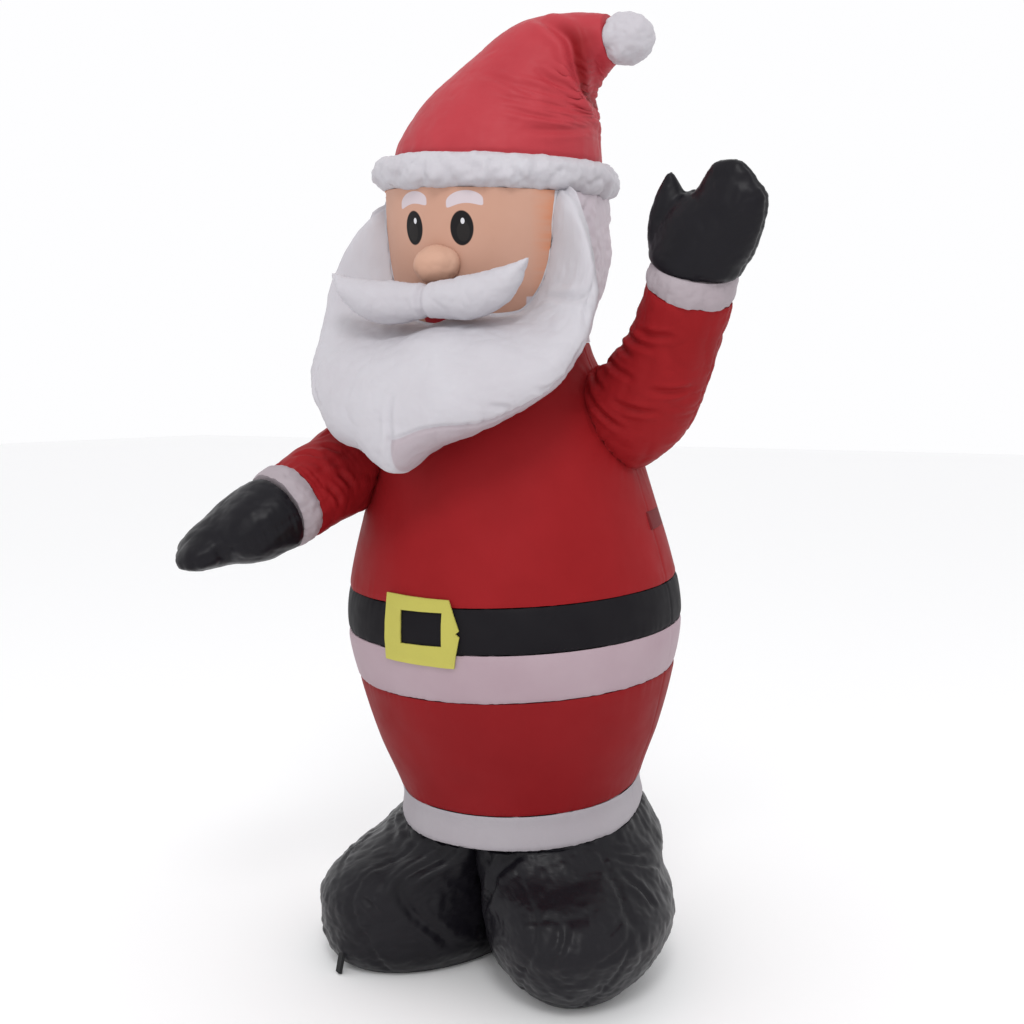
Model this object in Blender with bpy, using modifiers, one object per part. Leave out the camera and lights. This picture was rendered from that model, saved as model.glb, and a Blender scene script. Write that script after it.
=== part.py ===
"""An air-filled garden Santa, about 1.2 m tall, sewn from panels of thin nylon cloth.

The figure stands on the floor, faces -Y and has its own left hand at +X. Each cloth
panel that the air holds firm is one closed solid. Sizes are in metres.
"""
import math

import bmesh
import bpy
from mathutils import Matrix, Vector

# Fits between neighbouring panels
SEAM_GAP = 0.0003
MERGE_DISTANCE = 0.00005
ROUND_STEPS = 32

# Stance of the body above the boots
LEAN_FORWARD = math.radians(3.0)
LEAN_SIDEWAYS = math.radians(1.0)
STANCE_SIDEWAYS = 0.006
STANCE_BACK = 0.010

# Heights of the seams round the body, above the floor
TRIM_BOTTOM = 0.193
TRIM_TOP = 0.226
HEM_BOTTOM = 0.386
BELT_BOTTOM = 0.446
BELT_TOP = 0.500
CHEST_HEIGHT = 0.600
NECK_HEIGHT = 0.795
SHOULDER_HEIGHT = NECK_HEIGHT - 0.095
EYE_HEIGHT = 0.940
CROWN_HEIGHT = 1.000

# Radii of the body at those heights
TRIM_BOTTOM_RADIUS = 0.159
TRIM_TOP_RADIUS = 0.156
TROUSER_RADIUS = 0.183
HEM_BOTTOM_RADIUS = 0.204
BELT_BOTTOM_RADIUS = 0.2145
BELT_TOP_RADIUS = 0.2095
CHEST_RADIUS = 0.183
SHOULDER_RADIUS = 0.152
NECK_RADIUS = 0.109
CHEEK_RADIUS = 0.131
EYE_RADIUS = 0.1388
CROWN_RADIUS = 0.138

# Head panels
FACE_HALF_ANGLE = math.radians(63.0)
NOSE_BELOW_EYES = 0.048
NOSE_HALF_WIDTH = 0.027
NOSE_HALF_LENGTH = 0.032
NOSE_HALF_HEIGHT = 0.023

# Hat, rim and bobble
HAT_TILT = math.radians(5.0)
BRIM_THICKNESS = 0.041
BRIM_RADIUS = CROWN_RADIUS - 0.15 * BRIM_THICKNESS
HAT_RADIUS = BRIM_RADIUS + 0.05 * BRIM_THICKNESS
HAT_TIP_RADIUS = 0.030
HAT_RISE = 0.158
HAT_REACH = 0.140
POMPOM_RADIUS = 0.030

# Beard: a pillow that wraps the chin from one temple to the other
BEARD_HALF_ANGLE = math.radians(71.0)
BEARD_BELOW_NECK = 0.107
BEARD_UNDER_CROWN = 0.015
BEARD_TIP_DROP = 0.034
BEARD_REACH = 0.262

# Moustache: a free-tipped crescent
MOUSTACHE_HALF_SPAN = 0.136
MOUSTACHE_THICKNESS = 0.044
MOUSTACHE_ABOVE_BEARD = 0.012
MOUSTACHE_TIP_LIFT = 0.040

# Arms, each a tube of cloth with a cuff and a mitten
ARM_LENGTH = 0.320
LEFT_SHOULDER_OUT = 0.060
LEFT_SHOULDER_DROP = 0.010
RIGHT_SHOULDER_OUT = 0.080
RIGHT_SHOULDER_BACK = 0.010
RIGHT_SHOULDER_RISE = 0.008
LEFT_FINGERS = (0.40, -0.35, 0.84)
RIGHT_FINGERS = (-0.33, -0.86, -0.44)
SLEEVE_SHOULDER_RADIUS = 0.070
SLEEVE_ELBOW_RADIUS = 0.064
SLEEVE_FOREARM_RADIUS = 0.052
WRIST_RADIUS = 0.0495
CUFF_LENGTH = 0.028
CUFF_SWELL = 0.003
MITTEN_LENGTH = 0.128
MITTEN_WIDTH = 0.116
MITTEN_THICKNESS = 0.084
FINGERTIP_TAPER = 0.35
THUMB_WIDTH = 0.038

# Boots
BOOT_SPREAD = 0.106
BOOT_FORWARD = 0.034
BOOT_HALF_WIDTH = 0.121
BOOT_HALF_LENGTH = 0.173
BOOT_TURN_OUT = math.radians(20.0)
BOOT_SIDES = 28

# Patches and webbing
PATCH_THICKNESS = 0.003
PATCH_MARGIN = 0.010
BUCKLE_WIDTH = 0.100
BUCKLE_HEIGHT = 0.082
BUCKLE_WINDOW_WIDTH = 0.050
BUCKLE_WINDOW_HEIGHT = 0.032
BUCKLE_BELOW_MIDDLE = 0.001
BUCKLE_TURN = math.radians(-1.5)
TAB_WIDTH = 0.055
TAB_TURN = math.radians(100.0)
TAB_HEIGHT = 0.022
TAB_ABOVE_BELT = 0.076
LOOP_WIDTH = 0.010
LOOP_THICKNESS = 0.004
LOOP_LENGTH = 0.032
LOOP_ABOVE_FLOOR = 0.002
LOOP_BEARING = math.radians(15.0)
LOOP_SLOPE = math.radians(-12.0)
LOOP_TURN = math.radians(-25.0)

COLOURS = {
    "red": ((0.42, 0.020, 0.024), 0.55),
    "white": ((0.78, 0.74, 0.76), 0.60),
    "black": ((0.012, 0.012, 0.013), 0.48),
    "skin": ((0.70, 0.42, 0.29), 0.60),
    "yellow": ((0.80, 0.66, 0.12), 0.60),
}


def clear_scene():
    for old in list(bpy.data.objects):
        bpy.data.objects.remove(old, do_unlink=True)


def make_collection(name):
    collection = bpy.data.collections.new(name)
    bpy.context.scene.collection.children.link(collection)
    return collection


def make_empty(name, parent=None):
    empty = bpy.data.objects.new(name, None)
    PARTS.objects.link(empty)
    empty.parent = parent
    return empty


def cloth_material(piece_name, colour_name):
    colour, roughness = COLOURS[colour_name]
    material = bpy.data.materials.new(piece_name + "_cloth")
    material.use_nodes = True
    shader = material.node_tree.nodes["Principled BSDF"]
    shader.inputs["Base Color"].default_value = (*colour, 1.0)
    shader.inputs["Roughness"].default_value = roughness
    shader.inputs["Metallic"].default_value = 0.0
    return material


def add_piece(name, mesh, colour_name, parent):
    piece = bpy.data.objects.new(name, mesh)
    PARTS.objects.link(piece)
    piece.parent = parent
    mesh.materials.clear()
    mesh.materials.append(cloth_material(name, colour_name))
    return piece


def add_cutter(name, mesh, parent):
    cutter = bpy.data.objects.new(name, mesh)
    CUTTERS.objects.link(cutter)
    cutter.parent = parent
    hide_cutter(cutter)
    return cutter


def hide_cutter(cutter):
    cutter.hide_render = True
    cutter.display_type = "WIRE"


def mesh_from(builder, name):
    mesh = bpy.data.meshes.new(name)
    builder.to_mesh(mesh)
    builder.free()
    mesh.shade_smooth()
    mesh.set_sharp_from_angle(angle=math.radians(50.0))
    return mesh


def boolean(piece, cutter, operation):
    step = piece.modifiers.new(operation.lower() + "_" + cutter.name, "BOOLEAN")
    step.operation = operation
    step.solver = "EXACT"
    step.object = cutter


def clear_of(piece, neighbour):
    """Cut a piece back to the seam gap from a neighbour that it leans on."""
    cutter = neighbour.copy()
    cutter.name = piece.name + "_clear_of_" + neighbour.name
    cutter.data = neighbour.data.copy()
    CUTTERS.objects.link(cutter)
    hide_cutter(cutter)
    grow = cutter.modifiers.new("grow", "DISPLACE")
    grow.strength = SEAM_GAP
    grow.mid_level = 0.0
    boolean(piece, cutter, "DIFFERENCE")


def smooth_value(stations, place):
    """Value at a place on the smooth curve through (place, value) stations."""
    places = [station[0] for station in stations]
    values = [station[1] for station in stations]
    if place <= places[0]:
        return values[0]
    if place >= places[-1]:
        return values[-1]
    index = max(i for i in range(len(places) - 1) if places[i] <= place)

    def slope(i):
        first = max(i - 1, 0)
        last = min(i + 1, len(places) - 1)
        return (values[last] - values[first]) / (places[last] - places[first])

    span = places[index + 1] - places[index]
    t = (place - places[index]) / span
    start_weight = 2 * t**3 - 3 * t**2 + 1
    end_weight = 3 * t**2 - 2 * t**3
    start_slope_weight = t**3 - 2 * t**2 + t
    end_slope_weight = t**3 - t**2
    return (
        start_weight * values[index]
        + end_weight * values[index + 1]
        + span * start_slope_weight * slope(index)
        + span * end_slope_weight * slope(index + 1)
    )


def smooth_path(knots, count):
    """Evenly counted points on a smooth curve through hand-chosen knots."""
    axes = [[(i, knot[axis]) for i, knot in enumerate(knots)] for axis in range(len(knots[0]))]
    last = len(knots) - 1
    return [
        tuple(smooth_value(axis, last * step / (count - 1)) for axis in axes)
        for step in range(count)
    ]


BODY_STATIONS = (
    (TRIM_BOTTOM, TRIM_BOTTOM_RADIUS),
    (TRIM_TOP, TRIM_TOP_RADIUS),
    ((TRIM_TOP + HEM_BOTTOM) / 2, TROUSER_RADIUS),
    (HEM_BOTTOM, HEM_BOTTOM_RADIUS),
    (BELT_BOTTOM, BELT_BOTTOM_RADIUS),
    (BELT_TOP, BELT_TOP_RADIUS),
    (CHEST_HEIGHT, CHEST_RADIUS),
    (SHOULDER_HEIGHT, SHOULDER_RADIUS),
    (NECK_HEIGHT, NECK_RADIUS),
    ((NECK_HEIGHT + EYE_HEIGHT) / 2, CHEEK_RADIUS),
    (EYE_HEIGHT, EYE_RADIUS),
    (CROWN_HEIGHT, CROWN_RADIUS),
)


def body_radius(height):
    return smooth_value(BODY_STATIONS, height)


def turned_solid(name, colour_name, bottom, top, rings, parent, outline=body_radius):
    """A slice of the round body between two heights, turned about the body's axis."""
    low = bottom + SEAM_GAP / 2
    high = top - SEAM_GAP / 2
    heights = [high - (high - low) * step / rings for step in range(rings + 1)]
    profile = [(0.0, high)]
    profile += [(outline(height), height) for height in heights]
    profile.append((0.0, low))
    mesh = bpy.data.meshes.new(name)
    points = [(radius, 0.0, height) for radius, height in profile]
    edges = [(i, i + 1) for i in range(len(points) - 1)]
    mesh.from_pydata(points, edges, [])
    piece = add_piece(name, mesh, colour_name, parent)
    screw = piece.modifiers.new("turn", "SCREW")
    screw.angle = math.tau
    screw.steps = ROUND_STEPS
    screw.render_steps = ROUND_STEPS
    screw.use_merge_vertices = True
    screw.merge_threshold = MERGE_DISTANCE
    screw.use_smooth_shade = True
    return piece


def tube_mesh(name, points, radii, side_resolution=6):
    """Mesh of a tube along a path, with its own radius at each point."""
    curve = bpy.data.curves.new(name, "CURVE")
    curve.dimensions = "3D"
    curve.bevel_depth = 1.0
    curve.bevel_resolution = side_resolution
    curve.use_fill_caps = True
    curve.twist_mode = "MINIMUM"
    spline = curve.splines.new("POLY")
    spline.points.add(len(points) - 1)
    for point, place, radius in zip(spline.points, points, radii):
        point.co = (*place, 1.0)
        point.radius = radius
    guide = bpy.data.objects.new(name + "_path", curve)
    CUTTERS.objects.link(guide)
    bpy.context.view_layer.update()
    depsgraph = bpy.context.evaluated_depsgraph_get()
    mesh = bpy.data.meshes.new_from_object(guide.evaluated_get(depsgraph))
    bpy.data.objects.remove(guide, do_unlink=True)
    builder = bmesh.new()
    builder.from_mesh(mesh)
    bpy.data.meshes.remove(mesh)
    bmesh.ops.remove_doubles(builder, verts=builder.verts, dist=MERGE_DISTANCE)
    bmesh.ops.recalc_face_normals(builder, faces=builder.faces)
    return mesh_from(builder, name)


def flat_outline_mesh(name, outline, thickness, holes=()):
    """Mesh of a flat plate cut to an outline in its own XY plane."""
    curve = bpy.data.curves.new(name, "CURVE")
    curve.dimensions = "2D"
    curve.fill_mode = "BOTH"
    curve.extrude = thickness / 2
    for loop in (outline, *holes):
        spline = curve.splines.new("POLY")
        spline.points.add(len(loop) - 1)
        spline.use_cyclic_u = True
        for point, (x, y) in zip(spline.points, loop):
            point.co = (x, y, 0.0, 1.0)
    guide = bpy.data.objects.new(name + "_outline", curve)
    CUTTERS.objects.link(guide)
    bpy.context.view_layer.update()
    depsgraph = bpy.context.evaluated_depsgraph_get()
    mesh = bpy.data.meshes.new_from_object(guide.evaluated_get(depsgraph))
    bpy.data.objects.remove(guide, do_unlink=True)
    builder = bmesh.new()
    builder.from_mesh(mesh)
    bpy.data.meshes.remove(mesh)
    bmesh.ops.remove_doubles(builder, verts=builder.verts, dist=MERGE_DISTANCE)
    bmesh.ops.recalc_face_normals(builder, faces=builder.faces)
    return mesh_from(builder, name)


def ball_mesh(name, centre, half_sizes, segments=20, rings=12):
    builder = bmesh.new()
    bmesh.ops.create_uvsphere(builder, u_segments=segments, v_segments=rings, radius=1.0)
    bmesh.ops.scale(builder, vec=half_sizes, verts=builder.verts)
    bmesh.ops.translate(builder, vec=centre, verts=builder.verts)
    return mesh_from(builder, name)


def box_mesh(name, centre, size):
    builder = bmesh.new()
    bmesh.ops.create_cube(builder, size=1.0)
    bmesh.ops.scale(builder, vec=size, verts=builder.verts)
    bmesh.ops.translate(builder, vec=centre, verts=builder.verts)
    return mesh_from(builder, name)


def lofted_mesh(name, sections):
    """Closed mesh through sections of unlike outlines that have the same point count."""
    builder = bmesh.new()
    loops = [[builder.verts.new(point) for point in section] for section in sections]
    count = len(loops[0])
    for lower, upper in zip(loops, loops[1:]):
        for i in range(count):
            j = (i + 1) % count
            builder.faces.new((lower[i], lower[j], upper[j], upper[i]))
    builder.faces.new(list(reversed(loops[0])))
    builder.faces.new(loops[-1])
    bmesh.ops.recalc_face_normals(builder, faces=builder.faces)
    return mesh_from(builder, name)


def squash_mesh(mesh, centre, direction, share):
    """Flatten a mesh towards a plane through a point, keeping a share of its depth."""
    normal = Vector(direction).normalized()
    origin = Vector(centre)
    for vertex in mesh.vertices:
        depth = (vertex.co - origin).dot(normal)
        vertex.co -= normal * depth * (1.0 - share)
    mesh.update()


# Body: five bands of cloth, one above the other

def build_body():
    turned_solid("boot_trim", "white", TRIM_BOTTOM, TRIM_TOP, 2, LEANING)
    turned_solid("trousers", "red", TRIM_TOP, HEM_BOTTOM, 5, LEANING)
    turned_solid("jacket_hem", "white", HEM_BOTTOM, BELT_BOTTOM, 3, LEANING)
    turned_solid("belt", "black", BELT_BOTTOM, BELT_TOP, 3, LEANING)
    return turned_solid("jacket", "red", BELT_TOP, NECK_HEIGHT, 9, LEANING)


# Head: a skin panel in front and a hair panel behind, joined at the temples

def face_wedge_mesh(extra):
    """Wedge in front of the head, its point on the axis, grown by an extra width."""
    reach = 2 * EYE_RADIUS
    half_width = reach * math.tan(FACE_HALF_ANGLE)
    side_step = extra / math.cos(FACE_HALF_ANGLE)
    outline = [(0.0, side_step), (-half_width, side_step - reach), (half_width, side_step - reach)]
    mesh = flat_outline_mesh("face_wedge", outline, 2 * (CROWN_HEIGHT - NECK_HEIGHT))
    mesh.transform(Matrix.Translation((0.0, 0.0, (CROWN_HEIGHT + NECK_HEIGHT) / 2)))
    return mesh


def build_head(brim):
    head_top = CROWN_HEIGHT + CROWN_RADIUS * math.sin(HAT_TILT)
    face = turned_solid("face", "skin", NECK_HEIGHT, head_top, 7, LEANING)
    boolean(face, add_cutter("face_side_cut", face_wedge_mesh(-SEAM_GAP / 2), LEANING), "INTERSECT")
    hair = turned_solid("hair", "white", NECK_HEIGHT, head_top, 7, LEANING)
    boolean(hair, add_cutter("hair_front_cut", face_wedge_mesh(SEAM_GAP / 2), LEANING), "DIFFERENCE")
    room = 2 * BRIM_RADIUS
    above = box_mesh("head_top_cut", (0.0, 0.0, room / 2 - SEAM_GAP), (2 * room, 2 * room, room))
    top_cut = add_cutter("head_top_cut", above, HAT_FRAME)
    for panel in (face, hair):
        boolean(panel, top_cut, "DIFFERENCE")
        clear_of(panel, brim)
    return face, hair


def build_nose(face):
    height = EYE_HEIGHT - NOSE_BELOW_EYES
    centre = (0.0, -body_radius(height) - NOSE_HALF_LENGTH / 2, height)
    half_sizes = (NOSE_HALF_WIDTH, NOSE_HALF_LENGTH, NOSE_HALF_HEIGHT)
    nose = add_piece("nose", ball_mesh("nose", centre, half_sizes, 16, 10), "skin", LEANING)
    clear_of(nose, face)
    return nose


# Hat: a bent cone that falls to the figure's left, with a stuffed rim and a bobble

def hat_rings(ring_count, sides):
    """Rings of the hat from the rim to the tip, each tipped further to the side."""
    knots = (
        (0.000, 0.000, 1.000, 0.0),
        (0.030, 0.250, 0.935, 1.0),
        (0.125, 0.460, 0.826, 5.0),
        (0.280, 0.650, 0.665, 14.0),
        (0.480, 0.825, 0.480, 28.0),
        (0.740, 0.950, 0.325, 47.0),
        (1.000, 1.000, HAT_TIP_RADIUS / HAT_RADIUS, 80.0),
    )
    rings = []
    for reach, rise, share, tip in smooth_path(knots, ring_count):
        slope = math.radians(tip)
        radius = HAT_RADIUS * share
        ring = []
        for side in range(sides):
            turn = math.tau * side / sides
            across = radius * math.cos(turn)
            ring.append((reach * HAT_REACH + across * math.cos(slope), radius * math.sin(turn),
                         rise * HAT_RISE - across * math.sin(slope)))
        rings.append(ring)
    return rings


def build_hat():
    hat = add_piece("hat", lofted_mesh("hat", hat_rings(13, 24)), "red", HAT_FRAME)
    brim_mesh = torus_mesh("hat_brim", BRIM_RADIUS, BRIM_THICKNESS / 2, ROUND_STEPS, 10)
    brim = add_piece("hat_brim", brim_mesh, "white", HAT_FRAME)
    clear_of(hat, brim)
    centre = (HAT_REACH + POMPOM_RADIUS, 0.0, HAT_RISE)
    pompom_mesh = ball_mesh("pompom", centre, (POMPOM_RADIUS,) * 3, 16, 10)
    pompom = add_piece("pompom", pompom_mesh, "white", HAT_FRAME)
    clear_of(pompom, hat)
    return brim


def torus_mesh(name, ring_radius, tube_radius, ring_steps, tube_steps):
    bpy.ops.mesh.primitive_torus_add(major_radius=ring_radius, minor_radius=tube_radius,
                                     major_segments=ring_steps, minor_segments=tube_steps)
    ring = bpy.context.object
    mesh = ring.data.copy()
    mesh.name = name
    bpy.data.objects.remove(ring, do_unlink=True)
    mesh.shade_smooth()
    return mesh


# Beard and moustache: two air-filled pillows

# Each pair is the share of the way round to the temple, then a share of depth or reach
BEARD_LOWER_EDGE = ((0.0, 0.0), (0.22, 0.020), (0.44, 0.094), (0.63, 0.202), (0.82, 0.394),
                    (0.90, 0.572), (1.0, 0.916))
BEARD_UPPER_EDGE = ((0.0, 0.505), (0.55, 0.498), (0.70, 0.582), (0.78, 0.714), (0.84, 0.966),
                    (1.0, 1.0))
BEARD_FRONT = ((0.0, 1.0), (0.44, 0.966), (0.63, 0.935), (0.82, 0.847), (0.90, 0.744),
               (1.0, 0.603))


def beard_height(edge, share):
    """Height of the beard's lower or upper edge at a share of the way round to the temple."""
    bottom = NECK_HEIGHT - BEARD_BELOW_NECK
    depth = CROWN_HEIGHT - BEARD_UNDER_CROWN - bottom
    return bottom + depth * smooth_value(edge, share)


def beard_section(azimuth, points_round):
    """Outline of the beard where a plane through the body's axis cuts it."""
    share = abs(azimuth) / BEARD_HALF_ANGLE
    low = beard_height(BEARD_LOWER_EDGE, share)
    high = beard_height(BEARD_UPPER_EDGE, share)
    reach = BEARD_REACH * smooth_value(BEARD_FRONT, share)
    seat = 0.6 * NECK_RADIUS
    droop = 0.7
    fullness = 0.45
    depth_range = 1.0 + math.hypot(1.0, droop)
    hook_peak = 3 * math.sqrt(3) / 8
    tip_share = 0.13
    tip_drop = BEARD_TIP_DROP * math.exp(-((share / tip_share) ** 2))
    section = []
    for step in range(points_round):
        turn = math.pi * step / (points_round - 1)
        out = math.sin(turn) ** fullness
        fall = (1.0 - math.cos(turn) + droop * math.sin(turn)) / depth_range
        radius = seat + (reach - seat) * out
        hook = math.sin(turn) * (1.0 - math.cos(turn)) / 2 / hook_peak
        height = high - (high - low) * fall - tip_drop * hook
        section.append((radius * math.sin(azimuth), -radius * math.cos(azimuth), height))
    return section


def build_beard(jacket, face, hair, brim):
    sections = []
    for step in range(-10, 11):
        share = math.copysign(abs(step / 10) ** 1.25, step)
        sections.append(beard_section(BEARD_HALF_ANGLE * share, 12))
    beard = add_piece("beard", lofted_mesh("beard", sections), "white", LEANING)
    for neighbour in (jacket, face, hair, brim):
        clear_of(beard, neighbour)
    return beard


def build_moustache(face, nose, beard):
    half = MOUSTACHE_HALF_SPAN
    thick = MOUSTACHE_THICKNESS / 2
    lift = MOUSTACHE_TIP_LIFT
    middle = beard_height(BEARD_UPPER_EDGE, 0.0) + MOUSTACHE_ABOVE_BEARD
    front = -EYE_RADIUS - 1.35 * thick
    side_knots = (
        (half, front, middle + lift, 0.12 * thick),
        (0.84 * half, front, middle + 0.50 * lift, 0.55 * thick),
        (0.52 * half, front, middle + 0.08 * lift, thick),
        (0.0, front, middle, 0.90 * thick),
    )
    mirrored = tuple((-x, y, z, r) for x, y, z, r in reversed(side_knots[:-1]))
    path = smooth_path(side_knots + mirrored, 21)
    points = [knot[:3] for knot in path]
    radii = [knot[3] for knot in path]
    mesh = tube_mesh("moustache", points, radii, 4)
    moustache = add_piece("moustache", mesh, "white", LEANING)
    for neighbour in (face, nose, beard):
        clear_of(moustache, neighbour)
    return moustache


# Arms

# Places on each arm from its shoulder to its wrist, as shares of the arm's length
LEFT_ARM = ((0.0, 0.0, 0.0), (0.188, -0.006, 0.019), (0.363, -0.063, 0.100),
            (0.494, -0.131, 0.250), (0.581, -0.194, 0.400), (0.631, -0.238, 0.506),
            (0.656, -0.263, 0.575))
RIGHT_ARM = ((0.0, 0.0, 0.0), (-0.181, -0.125, -0.069), (-0.253, -0.344, -0.156),
             (-0.288, -0.578, -0.247), (-0.316, -0.775, -0.325), (-0.331, -0.863, -0.359))


def lengths_along(points):
    lengths = [0.0]
    for first, second in zip(points, points[1:]):
        lengths.append(lengths[-1] + (Vector(second) - Vector(first)).length)
    return lengths


def part_of_path(points, start, end, count):
    """Evenly spaced points on a path between two distances from its start."""
    lengths = lengths_along(points)
    stations = [list(zip(lengths, (point[axis] for point in points))) for axis in range(3)]
    places = [start + (end - start) * step / (count - 1) for step in range(count)]
    return [tuple(smooth_value(station, place) for station in stations) for place in places]


def build_sleeve(side, path, length, neighbours):
    points = part_of_path(path, 0.0, length, 12)
    stations = ((0.0, SLEEVE_SHOULDER_RADIUS), (0.45, SLEEVE_ELBOW_RADIUS),
                (0.8, SLEEVE_FOREARM_RADIUS), (1.0, WRIST_RADIUS))
    radii = [smooth_value(stations, step / 11) for step in range(12)]
    mesh = tube_mesh("sleeve_" + side, points, radii, 6)
    sleeve = add_piece("sleeve_" + side, mesh, "red", FIGURE)
    for neighbour in neighbours:
        clear_of(sleeve, neighbour)
    return sleeve


def build_cuff(side, path, start, end, sleeve):
    points = part_of_path(path, start, end, 4)
    middle = WRIST_RADIUS + CUFF_SWELL
    mesh = tube_mesh("cuff_" + side, points, (WRIST_RADIUS, middle, middle, WRIST_RADIUS), 6)
    cuff = add_piece("cuff_" + side, mesh, "white", FIGURE)
    clear_of(cuff, sleeve)
    return cuff


def build_mitten(side, wrist, fingers, palm, thumb_side):
    """A flattened mitten: where it starts, where it points, and the ways of palm and thumb."""
    along = Vector(fingers).normalized()
    flat = Vector(palm)
    flat = (flat - along * flat.dot(along)).normalized()
    across = along.cross(flat).normalized()
    if across.dot(Vector(thumb_side)) < 0:
        across = -across
    start = Vector(wrist) + along * SEAM_GAP
    shares = ((0.00, 0.00, 0.70), (0.10, 0.02, 0.86), (0.28, 0.04, 1.00), (0.46, 0.02, 0.98),
              (0.64, -0.06, 0.82), (0.80, -0.12, 0.66), (0.93, -0.14, 0.44), (1.00, -0.14, 0.16))
    points = [
        start + along * (MITTEN_LENGTH * far) + across * (MITTEN_WIDTH * drift)
        for far, drift, _ in shares
    ]
    radii = [MITTEN_WIDTH / 2 * share for _, _, share in shares]
    mesh = tube_mesh("mitten_" + side, points, radii, 6)
    squash_mesh(mesh, start, flat, MITTEN_THICKNESS / MITTEN_WIDTH)
    for vertex in mesh.vertices:
        far = (vertex.co - start).dot(along) / MITTEN_LENGTH
        depth = (vertex.co - start).dot(flat)
        vertex.co -= flat * depth * FINGERTIP_TAPER * max(0.0, far) ** 2
    mitten = add_piece("mitten_" + side, mesh, "black", FIGURE)
    thumb_knots = ((0.22, 0.22), (0.38, 0.42), (0.52, 0.50), (0.66, 0.49))
    thumb_path = smooth_path(
        [tuple(start + along * (MITTEN_LENGTH * far) + across * (MITTEN_WIDTH * out))
         for far, out in thumb_knots], 6)
    thumb_shares = (1.0, 1.0, 0.95, 0.82, 0.58, 0.20)
    thumb_radii = [THUMB_WIDTH / 2 * share for share in thumb_shares]
    thumb_mesh = tube_mesh("thumb_" + side, thumb_path, thumb_radii, 4)
    boolean(mitten, add_cutter("thumb_" + side, thumb_mesh, FIGURE), "UNION")
    return mitten


def build_arm(side, shoulder, shares, fingers, palm, thumb_side, neighbours):
    knots = [
        tuple(start + ARM_LENGTH * share for start, share in zip(shoulder, knot))
        for knot in shares
    ]
    path = smooth_path(knots, 24)
    total = lengths_along(path)[-1]
    seam = total - CUFF_LENGTH
    sleeve = build_sleeve(side, path, seam - SEAM_GAP / 2, neighbours)
    cuff = build_cuff(side, path, seam + SEAM_GAP / 2, total, sleeve)
    mitten = build_mitten(side, path[-1], fingers, palm, thumb_side)
    clear_of(mitten, cuff)


# Boots: two swollen feet that join under the trouser trim

def boot_outline(height, centre, half_width, half_length, turn_out):
    outline = []
    for step in range(BOOT_SIDES):
        turn = math.tau * step / BOOT_SIDES
        across = half_width * math.cos(turn)
        along = half_length * math.sin(turn)
        x = centre[0] + across * math.cos(turn_out) + along * math.sin(turn_out)
        y = centre[1] + across * math.sin(turn_out) - along * math.cos(turn_out)
        outline.append((x, y, height))
    return outline


def boot_sections():
    """Outlines of the left boot from the sole up to the trouser trim.

    Each row holds shares of the boot's height, spread, forward place, width, length and turn.
    """
    foot = (
        (0.000, 1.00, 1.00, 0.72, 0.75, 1.00),
        (0.052, 1.00, 1.00, 0.82, 0.84, 1.00),
        (0.155, 1.00, 1.00, 0.94, 0.93, 1.00),
        (0.311, 1.00, 1.00, 1.00, 0.985, 1.00),
        (0.492, 0.98, 1.00, 1.00, 1.00, 1.00),
        (0.674, 0.83, 0.71, 0.97, 0.93, 0.75),
        (0.803, 0.60, 0.00, 1.03, 0.86, 0.20),
        (0.922, 0.38, -0.35, 1.07, 0.87, 0.00),
    )
    sections = []
    for rise, spread, forward, wide, long, turned in foot:
        centre = (BOOT_SPREAD * spread, -BOOT_FORWARD * forward)
        sections.append(boot_outline(TRIM_BOTTOM * rise, centre, BOOT_HALF_WIDTH * wide,
                                     BOOT_HALF_LENGTH * long, BOOT_TURN_OUT * turned))
    collar_top = TRIM_BOTTOM + 2 * TRIM_BOTTOM_RADIUS * math.sin(LEAN_FORWARD)
    for height in (0.99 * TRIM_BOTTOM, collar_top):
        sections.append(boot_outline(height, (0.0, 0.0), TRIM_BOTTOM_RADIUS,
                                     TRIM_BOTTOM_RADIUS, 0.0))
    return sections


def build_boots():
    boots = []
    room = 4 * BOOT_HALF_LENGTH
    for side, sign in (("left", 1), ("right", -1)):
        sections = [
            [(sign * x, y, z) for x, y, z in section] for section in boot_sections()
        ]
        boot = add_piece("boot_" + side, lofted_mesh("boot_" + side, sections), "black", FIGURE)
        beyond = box_mesh("boot_" + side + "_middle_cut", (-sign * (room - SEAM_GAP) / 2, 0.0, 0.0),
                          (room, 2 * room, 2 * room))
        boolean(boot, add_cutter("boot_" + side + "_middle_cut", beyond, FIGURE), "DIFFERENCE")
        above = box_mesh("boot_" + side + "_top_cut",
                         (0.0, 0.0, TRIM_BOTTOM + (room - SEAM_GAP) / 2), (room, room, room))
        boolean(boot, add_cutter("boot_" + side + "_top_cut", above, LEANING), "DIFFERENCE")
        boots.append(boot)
    return boots


# Patches sewn on the body

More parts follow.
